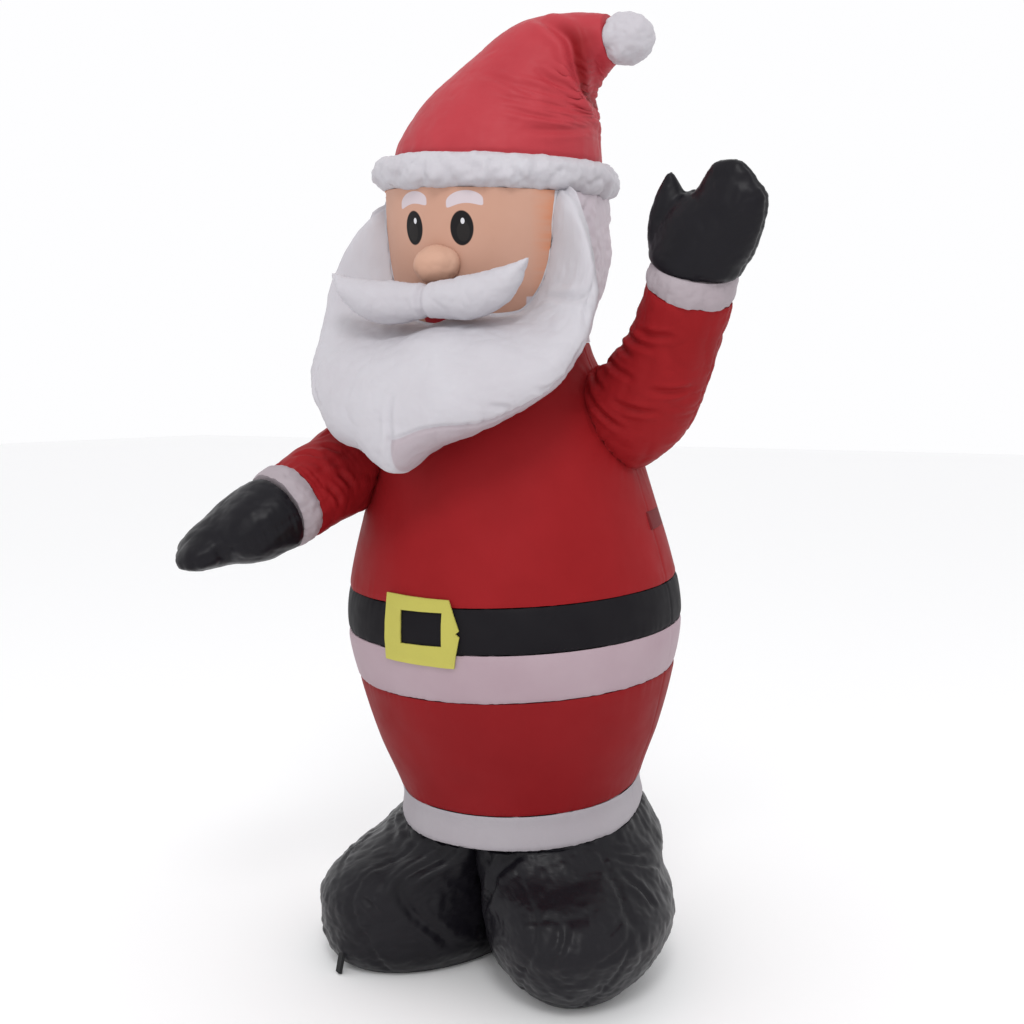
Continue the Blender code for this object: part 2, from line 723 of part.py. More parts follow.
def patch_on_body(name, colour_name, outline, holes, height, turn):
    """A thin patch that follows the round body, centred at a height and a turn from the front."""
    def outer(at):
        return body_radius(at) + SEAM_GAP + PATCH_THICKNESS

    half = max(abs(y) for _, y in outline) + PATCH_MARGIN
    shell = turned_solid(name, colour_name, height - half, height + half, 8, LEANING, outer)

    def inner(at):
        return body_radius(at) + SEAM_GAP

    core = turned_solid(name + "_inside", colour_name, height - half - 2 * PATCH_MARGIN,
                        height + half + 2 * PATCH_MARGIN, 10, LEANING, inner)
    PARTS.objects.unlink(core)
    CUTTERS.objects.link(core)
    hide_cutter(core)
    reach = 2 * BELT_BOTTOM_RADIUS
    plate = flat_outline_mesh(name + "_outline", outline, reach, holes)
    plate.transform(Matrix.Translation((0.0, -reach / 2 - BELT_BOTTOM_RADIUS / 2, height))
                    @ Matrix.Rotation(math.pi / 2, 4, "X"))
    plate.transform(Matrix.Rotation(turn, 4, "Z"))
    boolean(shell, add_cutter(name + "_shape", plate, LEANING), "INTERSECT")
    boolean(shell, core, "DIFFERENCE")
    return shell


def rectangle(width, height):
    return [(-width / 2, -height / 2), (width / 2, -height / 2), (width / 2, height / 2),
            (-width / 2, height / 2)]


def build_patches():
    outline = [(-0.50, -0.46), (0.46, -0.50), (0.52, 0.0), (0.42, 0.46), (-0.48, 0.50)]
    outline = [(x * BUCKLE_WIDTH, y * BUCKLE_HEIGHT) for x, y in outline]
    window = rectangle(BUCKLE_WINDOW_WIDTH, BUCKLE_WINDOW_HEIGHT)
    buckle_height = (BELT_BOTTOM + BELT_TOP) / 2 - BUCKLE_BELOW_MIDDLE
    patch_on_body("buckle", "yellow", outline, (window,), buckle_height, BUCKLE_TURN)
    for side, sign in (("left", 1), ("right", -1)):
        patch_on_body("tether_tab_" + side, "red", rectangle(TAB_WIDTH, TAB_HEIGHT), (),
                      BELT_TOP + TAB_ABOVE_BELT, sign * TAB_TURN)


def build_stake_loop(boot):
    """Doubled webbing sewn to the front of the right boot, for a ground stake."""
    mesh = box_mesh("stake_loop", (0.0, 0.0, LOOP_LENGTH / 2),
                    (LOOP_WIDTH, LOOP_THICKNESS, LOOP_LENGTH))
    loop = add_piece("stake_loop", mesh, "black", FIGURE)
    loop.location = (-BOOT_SPREAD - BOOT_HALF_LENGTH * math.sin(LOOP_BEARING),
                     -BOOT_FORWARD - BOOT_HALF_LENGTH * math.cos(LOOP_BEARING),
                     LOOP_ABOVE_FLOOR)
    loop.rotation_euler = (LOOP_SLOPE, 0.0, LOOP_TURN)
    clear_of(loop, boot)


def centre_on_floor():
    """Move the figure so that the middle of its bounding box stands at the origin."""
    bpy.context.view_layer.update()
    depsgraph = bpy.context.evaluated_depsgraph_get()
    corners = []
    for piece in PARTS.objects:
        if piece.type == "MESH":
            evaluated = piece.evaluated_get(depsgraph)
            corners += [evaluated.matrix_world @ vertex.co for vertex in evaluated.data.vertices]
    for axis in range(2):
        low = min(corner[axis] for corner in corners)
        high = max(corner[axis] for corner in corners)
        FIGURE.location[axis] = -(low + high) / 2
    FIGURE.location.z = -min(corner.z for corner in corners)


clear_scene()
PARTS = make_collection("inflatable_santa")
CUTTERS = make_collection("cutters")
FIGURE = make_empty("figure")
LEANING = make_empty("leaning_body", FIGURE)
LEANING.rotation_euler = (LEAN_FORWARD, -LEAN_SIDEWAYS, 0.0)
LEANING.location = (STANCE_SIDEWAYS, STANCE_BACK, 0.0)
HAT_FRAME = make_empty("hat_frame", LEANING)
HAT_FRAME.location = (0.0, 0.0, CROWN_HEIGHT)
HAT_FRAME.rotation_euler = (0.0, HAT_TILT, 0.0)

jacket = build_body()
brim = build_hat()
face, hair = build_head(brim)
nose = build_nose(face)
beard = build_beard(jacket, face, hair, brim)
build_moustache(face, nose, beard)
left_shoulder = (LEFT_SHOULDER_OUT, 0.0, SHOULDER_HEIGHT - LEFT_SHOULDER_DROP)
right_shoulder = (-RIGHT_SHOULDER_OUT, RIGHT_SHOULDER_BACK, SHOULDER_HEIGHT + RIGHT_SHOULDER_RISE)
build_arm("left", left_shoulder, LEFT_ARM, LEFT_FINGERS, (0.0, -1.0, 0.0), (-1.0, 0.0, 0.0),
          (jacket, beard))
build_arm("right", right_shoulder, RIGHT_ARM, RIGHT_FINGERS, (0.0, 0.0, -1.0),
          (1.0, 0.0, 0.0), (jacket, beard))
boots = build_boots()
build_patches()
build_stake_loop(boots[1])
centre_on_floor()
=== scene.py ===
import math

import bmesh
import bpy
import numpy as np
from mathutils import Euler, Matrix, Vector, kdtree, noise


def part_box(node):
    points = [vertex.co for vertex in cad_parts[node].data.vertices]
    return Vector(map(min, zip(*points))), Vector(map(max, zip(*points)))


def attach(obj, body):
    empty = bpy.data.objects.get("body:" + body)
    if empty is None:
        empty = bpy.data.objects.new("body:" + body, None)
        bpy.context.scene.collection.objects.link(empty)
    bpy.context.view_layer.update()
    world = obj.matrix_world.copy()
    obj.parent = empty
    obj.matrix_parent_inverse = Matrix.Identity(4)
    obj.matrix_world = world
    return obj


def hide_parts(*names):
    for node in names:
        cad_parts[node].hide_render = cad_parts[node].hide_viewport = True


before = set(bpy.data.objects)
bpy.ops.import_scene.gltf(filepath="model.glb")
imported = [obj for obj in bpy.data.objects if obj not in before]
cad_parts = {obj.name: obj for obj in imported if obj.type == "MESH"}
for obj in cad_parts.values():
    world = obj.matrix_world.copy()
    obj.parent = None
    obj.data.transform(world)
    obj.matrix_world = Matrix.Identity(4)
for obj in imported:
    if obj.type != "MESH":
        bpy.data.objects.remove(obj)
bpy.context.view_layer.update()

# An air-filled garden Santa, about 1.2 m tall, sewn from thin nylon cloth. Lengths are in
# metres, and turns go round the body's axis from the front towards the figure's left.

# Trousers, jacket, belt and hem. The real body is one round tube of nylon, cut as bands
# of red, white and black cloth that are sewn edge to edge and blown tight by air.
LEAN_FORWARD = math.radians(3.0)
LEAN_SIDEWAYS = math.radians(1.0)
SEAM_GAP = 0.00015
TRIM_BOTTOM = 0.193
TRIM_TOP = 0.226
HEM_BOTTOM = 0.386
BELT_BOTTOM = 0.446
BELT_TOP = 0.500
NECK = 0.795
EYES = 0.940
CROWN = 1.000
BODY = ((TRIM_BOTTOM, 0.159), (TRIM_TOP, 0.156), (0.306, 0.183), (HEM_BOTTOM, 0.204),
        (BELT_BOTTOM, 0.2145), (BELT_TOP, 0.2095), (0.600, 0.183), (0.700, 0.152),
        (NECK, 0.109), (0.8675, 0.131), (EYES, 0.1388), (CROWN, 0.138))
lean = Euler((LEAN_FORWARD, -LEAN_SIDEWAYS, 0.0)).to_matrix().to_4x4()
belt_low, belt_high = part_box("belt")
belt_middle = lean @ Vector((0.0, 0.0, (BELT_BOTTOM + BELT_TOP) / 2))
foot = (belt_low + belt_high) / 2 - belt_middle
foot.z = 0.0
BODY_PLACE = Matrix.Translation(foot) @ lean

# The rows of points that each piece is made from, by its name, so that seams and folds can
# be laid along and around it.
RINGS = {}


def smooth_curve(stations, places):
    """Values on the smooth curve through (place, value) stations."""
    at = np.array([station[0] for station in stations], float)
    value = np.array([station[1] for station in stations], float)
    ahead = np.minimum(np.arange(len(at)) + 1, len(at) - 1)
    behind = np.maximum(np.arange(len(at)) - 1, 0)
    slope = (value[ahead] - value[behind]) / (at[ahead] - at[behind])
    places = np.clip(places, at[0], at[-1])
    i = np.clip(np.searchsorted(at, places, side="right") - 1, 0, len(at) - 2)
    span = at[i + 1] - at[i]
    t = (places - at[i]) / span
    return ((2 * t**3 - 3 * t**2 + 1) * value[i] + (3 * t**2 - 2 * t**3) * value[i + 1]
            + span * (t**3 - 2 * t**2 + t) * slope[i] + span * (t**3 - t**2) * slope[i + 1])


def body_radius(heights):
    """How far the round body reaches from its axis at some heights."""
    return smooth_curve(BODY, heights)


def placed(points, matrix):
    """Points carried to where a matrix puts them."""
    return points @ np.array(matrix.to_3x3()).T + np.array(matrix.translation)


def turned(radius, turns, heights):
    """Points at a distance from the body's axis."""
    radius, turns, heights = np.broadcast_arrays(radius, turns, heights)
    return np.stack([radius * np.sin(turns), -radius * np.cos(turns), heights], axis=-1)


def round_turns(count):
    """So many turns, evenly spaced all the way round."""
    return np.arange(count) * math.tau / count


def wall_faces(rows, columns, rounds):
    """Four-cornered faces from each of so many rings of points to the next ring."""
    row, column = np.meshgrid(np.arange(rounds), np.arange(columns), indexing="ij")
    beside = (column + 1) % columns
    above = (row + 1) % rows
    corners = (row * columns + column, row * columns + beside, above * columns + beside,
               above * columns + column)
    return np.stack([corner.ravel() for corner in corners], axis=1).tolist()


def closed_mesh(name, grid):
    """Closed mesh from rings of points, whose end rings close at their middles."""
    rows, columns = grid.shape[:2]
    ends = np.stack([grid[0].mean(axis=0), grid[-1].mean(axis=0)])
    points = np.concatenate([grid.reshape(-1, 3), ends])
    around = np.arange(columns)
    upper = around + (rows - 1) * columns
    first = np.stack([np.roll(around, -1), around, np.full(columns, rows * columns)], axis=1)
    last = np.stack([upper, np.roll(upper, -1), np.full(columns, rows * columns + 1)], axis=1)
    faces = wall_faces(rows, columns, rows - 1) + first.tolist() + last.tolist()
    mesh = bpy.data.meshes.new(name)
    mesh.from_pydata(points.tolist(), [], faces)
    face_out(mesh)
    return mesh


EDGE_ANGLE = math.radians(70.0)


def face_out(mesh, edge_angle=EDGE_ANGLE):
    """Turn a closed mesh's faces outwards, and shade it smooth up to its sharp edges."""
    builder = bmesh.new()
    builder.from_mesh(mesh)
    bmesh.ops.recalc_face_normals(builder, faces=builder.faces)
    if builder.calc_volume(signed=True) < 0:
        bmesh.ops.reverse_faces(builder, faces=builder.faces)
    builder.to_mesh(mesh)
    builder.free()
    mesh.shade_smooth()
    mesh.set_sharp_from_angle(angle=edge_angle)


def way_out(grid):
    """Which way is out of the cloth at each point of a piece's rings."""
    along = np.gradient(grid, axis=0)
    around = np.roll(grid, -1, axis=1) - np.roll(grid, 1, axis=1)
    ways = np.cross(around, along)
    ways /= np.maximum(np.linalg.norm(ways, axis=-1, keepdims=True), 1e-12)
    middle = grid.mean(axis=1, keepdims=True)
    return ways if ((grid - middle) * ways).sum() > 0 else -ways


def points_of(piece):
    """Where the points of a piece are, one row each."""
    points = np.empty(len(piece.data.vertices) * 3)
    piece.data.vertices.foreach_get("co", points)
    return points.reshape(-1, 3)


def move_out(piece, distances):
    """Move each point of a piece out of its cloth, or inwards where a distance is negative."""
    normals = np.zeros(len(piece.data.vertices) * 3)
    if piece.name in RINGS:
        ways = way_out(RINGS[piece.name]).ravel()
        normals[:len(ways)] = ways
    else:
        piece.data.vertex_normals.foreach_get("vector", normals)
    moved = points_of(piece) + normals.reshape(-1, 3) * distances[:, None]
    piece.data.vertices.foreach_set("co", moved.ravel())
    piece.data.update()


def move_near(piece, line, reach, move):
    """Move each point within reach of a line by what move says of its nearest place on it."""
    places = kdtree.KDTree(len(line))
    for index, point in enumerate(line):
        places.insert(point, index)
    places.balance()
    points = points_of(piece)
    moves = np.zeros(len(points))
    for index, point in enumerate(points.tolist()):
        near, place, gap = places.find(point)
        if gap <= reach:
            moves[index] = move(near, place, gap)
    move_out(piece, moves)


def sew(piece, seam, pinch=0.0016, width=0.0035, pucker=0.0012, pitch=0.010, reach=0.014,
        seed=0.0):
    """Draw a piece in along a seam, with the short gathers that a seam makes in tight cloth."""
    shift = Vector((seed, seed, seed))

    def gathers(near, _, gap):
        gather = 2 * abs(noise.noise(near / pitch + shift)) - 0.5
        length = reach * (1 + noise.noise(near / (2 * pitch) - shift))
        return pucker * gather * math.exp(-gap / length) - pinch * math.exp(-((gap / width) ** 2))

    move_near(piece, seam, 4 * reach, gathers)


def crumple(piece, size, depth, seed=0.0, where=None, stretch=(1.0, 1.0, 1.0)):
    """Random folds: round rolls of air with sharp valleys between them."""
    points = points_of(piece)
    places = (points / np.array(stretch) / size + seed).tolist()
    finer = (points / np.array(stretch) * 2.3 / size - seed).tolist()
    rolls = np.array([abs(noise.noise(a)) + 0.4 * abs(noise.noise(b))
                      for a, b in zip(places, finer)])
    moves = depth * (2 * rolls - 0.6)
    move_out(piece, moves if where is None else moves * where(points))


def add_node(tree, kind, *sources, **values):
    """A shader node whose first sockets take these sources, and whose named values are set."""
    node = tree.nodes.new("ShaderNode" + kind)
    for name, value in values.items():
        if hasattr(node, name):
            setattr(node, name, value)
        else:
            node.inputs[name.replace("_", " ").title()].default_value = value
    for socket, source in zip(node.inputs, sources):
        if isinstance(source, bpy.types.NodeSocket):
            tree.links.new(source, socket)
        else:
            socket.default_value = source
    return node


def soft_noise(tree, place, scale, detail=3.0, low=0.0, high=1.0):
    """Noise with so many patches to the metre, as values between low and high."""
    patches = add_node(tree, "TexNoise", place, scale=scale, detail=detail).outputs["Fac"]
    return add_node(tree, "MapRange", patches, from_min=0.25, from_max=0.75, to_min=low,
                    to_max=high).outputs["Result"]


def colour_mix(tree, share, under, over):
    """One colour where the share is nought, and another over it where the share is one."""
    mix = add_node(tree, "Mix", share, data_type="RGBA")
    # Inputs 6 and 7 and output 2 are this node's sockets for colours.
    for socket, colour in zip(mix.inputs[6:8], (under, over)):
        if isinstance(colour, bpy.types.NodeSocket):
            tree.links.new(colour, socket)
        else:
            socket.default_value = (*colour, 1.0)
    tree.links.new(mix.outputs[2], tree.nodes["Principled BSDF"].inputs["Base Color"])


def nylon(name, colour, shade, roughness, crinkle=0.0006, gleam=0.2, milky=0.0):
    """Thin woven nylon: two tones in soft patches, a crinkled skin and a fine square weave."""
    cloth = bpy.data.materials.new(name)
    cloth.use_nodes = True
    tree = cloth.node_tree
    shader = tree.nodes["Principled BSDF"].inputs
    shader["Specular IOR Level"].default_value = gleam
    shader["Subsurface Weight"].default_value = milky
    shader["Subsurface Radius"].default_value = (0.012, 0.010, 0.010)
    shader["Subsurface Scale"].default_value = 1.0
    place = tree.nodes.new("ShaderNodeTexCoord").outputs["Object"]
    colour_mix(tree, soft_noise(tree, place, 11.0), colour, shade)
    gloss = soft_noise(tree, place, 38.0, 4.0, roughness - 0.07, roughness + 0.07)
    tree.links.new(gloss, shader["Roughness"])
    wrinkles = add_node(tree, "TexNoise", place, scale=55.0, detail=4.0, distortion=0.3,
                        noise_type="RIDGED_MULTIFRACTAL").outputs["Fac"]
    skin = add_node(tree, "Bump", strength=1.0, distance=crinkle)
    tree.links.new(wrinkles, skin.inputs["Height"])
    threads = [
        add_node(tree, "TexWave", place, bands_direction=way, scale=260.0).outputs["Fac"]
        for way in ("DIAGONAL", "Z")
    ]
    square = add_node(tree, "Math", *threads, operation="ADD").outputs["Value"]
    weave = add_node(tree, "Bump", strength=0.25, distance=0.00012)
    tree.links.new(square, weave.inputs["Height"])
    tree.links.new(skin.outputs["Normal"], weave.inputs["Normal"])
    tree.links.new(weave.outputs["Normal"], shader["Normal"])
    return cloth


def finish_piece(piece, cloth, slot, *nodes):
    """Give a piece its cloth, and let it stand for its solids."""
    bpy.context.scene.collection.objects.link(piece)
    piece.data.materials.append(cloth)
    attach(piece, "root")
    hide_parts(*nodes)


def cloth_piece(name, grid, cloth, slot, matrix=BODY_PLACE):
    """A closed piece from rings of points, which replaces the solid of its name."""
    rings = placed(grid, matrix)
    piece = bpy.data.objects.new(name + "_cloth", closed_mesh(name, rings))
    RINGS[piece.name] = rings
    finish_piece(piece, cloth, slot, name)
    return piece


# The lower seams ride up at the figure's left side, round this turn.
LIFT_TURN = math.radians(116.0)
LIFT_SPREAD = math.radians(27.0)
SIDE_SEAM = math.radians(94.0)


def side_lift(turns):
    """How far the lower seams ride up, as a share."""
    away = np.mod(turns - LIFT_TURN + math.pi, math.tau) - math.pi
    return np.exp(-((away / LIFT_SPREAD) ** 2))


def seam_round(height, lift):
    """The line of a seam round the body, just outside its cloth."""
    turns = np.linspace(0.0, math.tau, 700)
    heights = height + lift * side_lift(turns)
    return placed(turned(body_radius(height) + 0.001, turns, heights), BODY_PLACE)


def seam_up(turn, low, high, count):
    """The line of a seam that runs up the body."""
    heights = np.linspace(low, high, count)
    return placed(turned(body_radius(heights), turn, heights), BODY_PLACE)


def body_band(name, cloth, slot, low, high, rows, low_lift=0.0, high_lift=0.0):
    """A tight band of the body with a pinched, gathered seam at each edge."""
    turns = round_turns(480)
    share = (0.5 - 0.5 * np.cos(np.linspace(0.0, math.pi, rows)))[:, None]
    bottom = low + SEAM_GAP + low_lift * side_lift(turns)
    top = high - SEAM_GAP + high_lift * side_lift(turns)
    flat = low + (high - low) * share
    puff = 0.0012 * np.sin(np.pi * share) ** 0.5
    rings = turned(body_radius(flat) + puff, turns, bottom + (top - bottom) * share)
    piece = cloth_piece(name, rings, cloth, slot)
    crumple(piece, 0.13, 0.0010, seed=low * 10, stretch=(1.0, 1.0, 2.0))
    for height, lift in ((low, low_lift), (high, high_lift)):
        sew(piece, seam_round(height, lift), pinch=0.0010, pucker=0.0008, pitch=0.012,
            reach=0.011, seed=height)
    for sign in (1, -1):
        sew(piece, seam_up(sign * SIDE_SEAM, low, high, 160), pinch=0.0012, width=0.002,
            pucker=0.0007, pitch=0.011, reach=0.010)
    return piece


RED = (0.275, 0.0115, 0.0145)
DEEP_RED = (0.235, 0.009, 0.011)
# Painted shade: the trousers' red is a darker copy of the jacket's, as the lower body gets less light
# from above.
SHADED_TROUSER_RED = (0.225, 0.010, 0.0125)
DEEP_SHADED_TROUSER_RED = (0.195, 0.008, 0.010)
BELT_BLACK = (0.006, 0.005, 0.007)
BELT_GREY = (0.010, 0.009, 0.011)
TRIM_SEAM_HIGH = TRIM_TOP + 0.006
TRIM_LIFT = 0.013
red_nylon = nylon("red_nylon", RED, DEEP_RED, 0.55, 0.0003, gleam=0.08)
shaded_trouser_nylon = nylon("shaded_trouser_nylon", SHADED_TROUSER_RED, DEEP_SHADED_TROUSER_RED, 0.55, 0.0002, gleam=0.08)
# The hem's white is darker and pinker than the beard's. The darkness is painted shade, for a band low
# on the body.
shaded_hem_nylon = nylon("shaded_hem_nylon", (0.40, 0.305, 0.34), (0.36, 0.26, 0.295), 0.60, 0.0003)
belt_nylon = nylon("belt_nylon", BELT_BLACK, BELT_GREY, 0.60, 0.0002, gleam=0.10)
body_band("trousers", shaded_trouser_nylon, "red_nylon", TRIM_SEAM_HIGH, HEM_BOTTOM, 56,
          low_lift=0.6 * TRIM_LIFT)
body_band("jacket_hem", shaded_hem_nylon, "white_nylon", HEM_BOTTOM, BELT_BOTTOM, 30)
body_band("belt", belt_nylon, "black_nylon", BELT_BOTTOM, BELT_TOP, 28)
jacket = body_band("jacket", red_nylon, "red_nylon", BELT_TOP, NECK, 90)

# Buckle. A patch of matt yellow cloth with a square window, sewn by hand over the belt,
# so its edges are uneven and one side has a nick.
BUCKLE_WIDTH = 0.100
BUCKLE_HEIGHT = 0.082
BUCKLE_WINDOW = (-0.025, 0.032, -0.016, 0.023)
BUCKLE_MIDDLE = (BELT_BOTTOM + BELT_TOP) / 2 - 0.001
BUCKLE_TURN = math.radians(-1.5)
PATCH_THICKNESS = 0.0022
PATCH_LIFT = 0.0012
PATCH_RIPPLE = 0.0008
PATCH_EDGE_LIFT = 0.0012


def reach_of(outline, angles):
    """Distance from the middle to an outline of straight sides, in each direction."""
    reach = np.full(len(angles), np.inf)
    for (x0, y0), (x1, y1) in zip(outline, outline[1:] + outline[:1]):
        side = (x1 - x0, y1 - y0)
        facing = np.cos(angles) * side[1] - np.sin(angles) * side[0]
        with np.errstate(divide="ignore", invalid="ignore"):
            distance = (x0 * side[1] - y0 * side[0]) / facing
            share = (x0 * np.sin(angles) - y0 * np.cos(angles)) / facing
        inside = (distance > 0) & (share >= -1e-9) & (share <= 1 + 1e-9)
        reach = np.where(inside, np.minimum(reach, distance), reach)
    return reach


def on_body(across, up, out, middle, turn):
    """Points of a flat patch laid on the body round a middle height and turn."""
    heights = middle + up
    radius = body_radius(heights)
    return turned(radius + out, turn + across / radius, heights)


def loop_piece(name, grid, cloth, slot, matrix=BODY_PLACE, edge_angle=EDGE_ANGLE):
    """A piece from loops of points that join round both ways, as in a frame or a ring."""
    rows, columns = grid.shape[:2]
    points = placed(grid, matrix).reshape(-1, 3).tolist()
    mesh = bpy.data.meshes.new(name)
    mesh.from_pydata(points, [], wall_faces(rows, columns, rows))
    face_out(mesh, edge_angle)
    piece = bpy.data.objects.new(name + "_cloth", mesh)
    finish_piece(piece, cloth, slot, name)
    return piece


def buckle_grid():
    """The buckle's rings from its window to its uneven edge, in front and then behind."""
    outline = [(-0.50, -0.46), (0.46, -0.50), (0.545, -0.05), (0.50, 0.0), (0.54, 0.04),
               (0.40, 0.46), (-0.48, 0.50)]
    outline = [(x * BUCKLE_WIDTH, y * BUCKLE_HEIGHT) for x, y in outline]
    left, right, low, high = BUCKLE_WINDOW
    window = [(left, low), (right, low), (right, high), (left, high)]
    corners = [math.atan2(y, x) % math.tau for x, y in outline + window]
    angles = np.unique(np.concatenate([np.linspace(0, math.tau, 241)[:-1], corners]))
    inner = reach_of(window, angles)
    outer = reach_of(outline, angles)
    steps = np.linspace(0.0, 1.0, 15)[:, None]
    reach = inner + (outer - inner) * steps
    across = reach * np.cos(angles)
    up = reach * np.sin(angles)
    ripple = np.array([[noise.noise((a * 60, b * 60, 3.0)) for a, b in zip(x, y)]
                       for x, y in zip(across.tolist(), up.tolist())])
    lift = PATCH_LIFT + PATCH_RIPPLE * ripple + PATCH_EDGE_LIFT * steps**6
    front = on_body(across, up, lift + PATCH_THICKNESS, BUCKLE_MIDDLE, BUCKLE_TURN)
    back = on_body(across, up, lift, BUCKLE_MIDDLE, BUCKLE_TURN)
    return np.concatenate([front, back[::-1]])


yellow_cloth = nylon("yellow_cloth", (0.47, 0.435, 0.095), (0.42, 0.385, 0.08), 0.75, 0.0003)
loop_piece("buckle", buckle_grid(), yellow_cloth, "yellow_cloth", edge_angle=math.radians(50.0))

# Tether tabs. Doubled dark red cloth, sewn flat over the side seams of the jacket, for
# the ties that hold such a figure in wind.
TAB_WIDTH = 0.055
TAB_HEIGHT = 0.022
TAB_MIDDLE = BELT_TOP + 0.076
TAB_TURN = math.radians(100.0)
TAB_THICKNESS = 0.0022
TAB_FRONT_EDGE = 0.0006
TAB_BACK = 0.0004


def ramp(values):
    """Values kept between nought and one."""
    return np.clip(values, 0.0, 1.0)


tab_cloth = nylon("tab_cloth", (0.15, 0.008, 0.011), (0.12, 0.006, 0.008), 0.65, 0.0003)
for side, sign in (("left", 1), ("right", -1)):
    across = np.linspace(-TAB_WIDTH / 2, TAB_WIDTH / 2, 40)
    up = np.linspace(-TAB_HEIGHT / 2, TAB_HEIGHT / 2, 16)[:, None]
    edge = np.maximum(np.abs(across) / (TAB_WIDTH / 2), np.abs(up) / (TAB_HEIGHT / 2))
    top = TAB_FRONT_EDGE + TAB_THICKNESS * ramp((1.0 - edge) * 12) ** 0.5
    front = on_body(across, up, top, TAB_MIDDLE, sign * TAB_TURN)
    back = on_body(across, up, TAB_BACK, TAB_MIDDLE, sign * TAB_TURN)
    loops = np.concatenate([front, back[:, ::-1]], axis=1)
    cloth_piece("tether_tab_" + side, loops, tab_cloth, "tab_cloth")

# Boots and their white trim. Black nylon, wide soft feet that press together in the
# middle, with a front panel between two seams and many small crinkles.
STANCE = Vector((0.006, 0.010, 0.0))
FIGURE_PLACE = Matrix.Translation(foot - STANCE)
TRIM_SEAM_LOW = TRIM_BOTTOM - 0.004
BOOT_SPREAD = 0.106
BOOT_FORWARD = 0.034
BOOT_HALF_WIDTH = 0.121
BOOT_HALF_LENGTH = 0.173
BOOT_TURN_OUT = math.radians(20.0)
BOOT_TOE_OUT = 0.012
BOOT_MEETING_CURVE = 0.010
BOOT_HOLLOW = 0.012
CALM_SOLE = 0.03
# Levels of a boot, as shares: how high, how far out and forward, how wide and long, and how
# far it is turned out.
BOOT_ROWS = (
    (0.000, 1.00, 1.00, 0.72, 0.75, 1.00),
    (0.052, 1.00, 1.00, 0.82, 0.84, 1.00),
    (0.155, 1.00, 1.00, 0.94, 0.93, 1.00),
    (0.311, 1.00, 1.00, 1.00, 0.985, 1.00),
    (0.492, 0.98, 1.00, 1.00, 1.00, 1.00),
    (0.674, 0.83, 0.71, 0.97, 0.93, 0.75),
    (0.803, 0.60, 0.00, 1.03, 0.86, 0.20),
    (0.922, 0.38, -0.35, 1.07, 0.87, 0.00),
)
# How far the sole of the left boot, 1, and of the right boot, -1, is drawn in.
BOOT_TUCK = {1: 0.25, -1: -0.04}


def boot_ring(row, angles, sign):
    """One level of a boot, from a row of its shares."""
    rise, spread, forward, wide, long, turn = row
    low = max(0.0, 1.0 - rise / 0.45) ** 1.4
    drawn_in = 1.0 - BOOT_TUCK[sign] * low
    forward = forward + low * BOOT_TOE_OUT / BOOT_FORWARD
    across = BOOT_HALF_WIDTH * (wide * drawn_in) * np.cos(angles)
    along = BOOT_HALF_LENGTH * (long * drawn_in) * np.sin(angles)
    turn_out = BOOT_TURN_OUT * turn
    x = BOOT_SPREAD * spread + across * math.cos(turn_out) + along * math.sin(turn_out)
    y = -BOOT_FORWARD * forward + across * math.sin(turn_out) - along * math.cos(turn_out)
    return np.stack([x, y, np.full(len(angles), TRIM_BOTTOM * rise)], axis=1)


def boot_grid(sign):
    """Rings of one boot from its sole to the trim, pressed flat where the boots meet."""
    angles = round_turns(300)
    rings = [boot_ring(row, angles, sign) for row in BOOT_ROWS]
    rings = [placed(ring * (sign, 1, 1), FIGURE_PLACE) for ring in rings]
    turns = np.arctan2(sign * np.cos(angles), np.sin(angles))
    heights = TRIM_SEAM_LOW - SEAM_GAP + TRIM_LIFT * side_lift(turns)
    rings.append(placed(turned(body_radius(TRIM_SEAM_LOW), turns, heights), BODY_PLACE))
    rings = np.array(rings)
    at = [row[0] for row in BOOT_ROWS] + [1.0]
    places = np.linspace(0.0, 1.0, 110) ** 1.15
    grid = np.stack([
        np.stack([smooth_curve(list(zip(at, rings[:, column, axis])), places)
                  for column in range(len(angles))], axis=1)
        for axis in range(3)
    ], axis=2)
    middle = FIGURE_PLACE.translation.x
    out = sign * (grid[:, :, 0] - middle)
    grid[:, :, 0] = middle + sign * (SEAM_GAP + (out + np.sqrt(out**2 + BOOT_MEETING_CURVE**2)) / 2)
    up = ramp((grid[:, :, 2] - 0.05) / 0.12)
    hollow = ramp(1.0 - np.abs(grid[:, :, 0] - middle) / (0.02 + 0.05 * up))
    front = ramp(np.sin(angles)) * np.sin(np.pi * places)[:, None]
    grid[:, :, 1] += BOOT_HOLLOW * hollow * front
    return grid


def knot_curves(knots, places):
    """The smooth curve through each column of a table of knots, at places counted in knots."""
    return np.array([smooth_curve(list(enumerate(column)), places) for column in zip(*knots)])


def smooth_path(knots, count):
    """Points on the smooth curve through a few knots, evenly spaced from knot to knot."""
    return np.stack(knot_curves(knots, np.linspace(0.0, len(knots) - 1, count)), axis=1)


def line_on(piece, *places):
    """A smooth line over a piece, through places given as shares along and around it."""
    rings = RINGS[piece.name]
    rows, columns = rings.shape[:2]
    path = smooth_path(places, 40 * len(places))
    row = ramp(path[:, 0]) * (rows - 1)
    column = path[:, 1] * columns
    low = np.minimum(row.astype(int), rows - 2)
    left = np.floor(column).astype(int)
    up = (row - low)[:, None]
    over = (column - left)[:, None]
    corner = [rings[low + i, (left + j) % columns] for i in (0, 1) for j in (0, 1)]
    below = corner[0] * (1 - over) + corner[1] * over
    above = corner[2] * (1 - over) + corner[3] * over
    return below * (1 - up) + above * up


def crease(piece, depth, width, *places):
    """One long fold over a piece: a valley that fades at its ends, with soft lips."""
    line = line_on(piece, *places)

    def valley(_, place, gap):
        fade = math.sin(math.pi * (place + 0.5) / len(line)) ** 0.6
        gap /= width
        return depth * fade * (0.5 * math.exp(-((gap - 2) ** 2)) - math.exp(-(gap**2)))

    move_near(piece, line, 5 * width, valley)


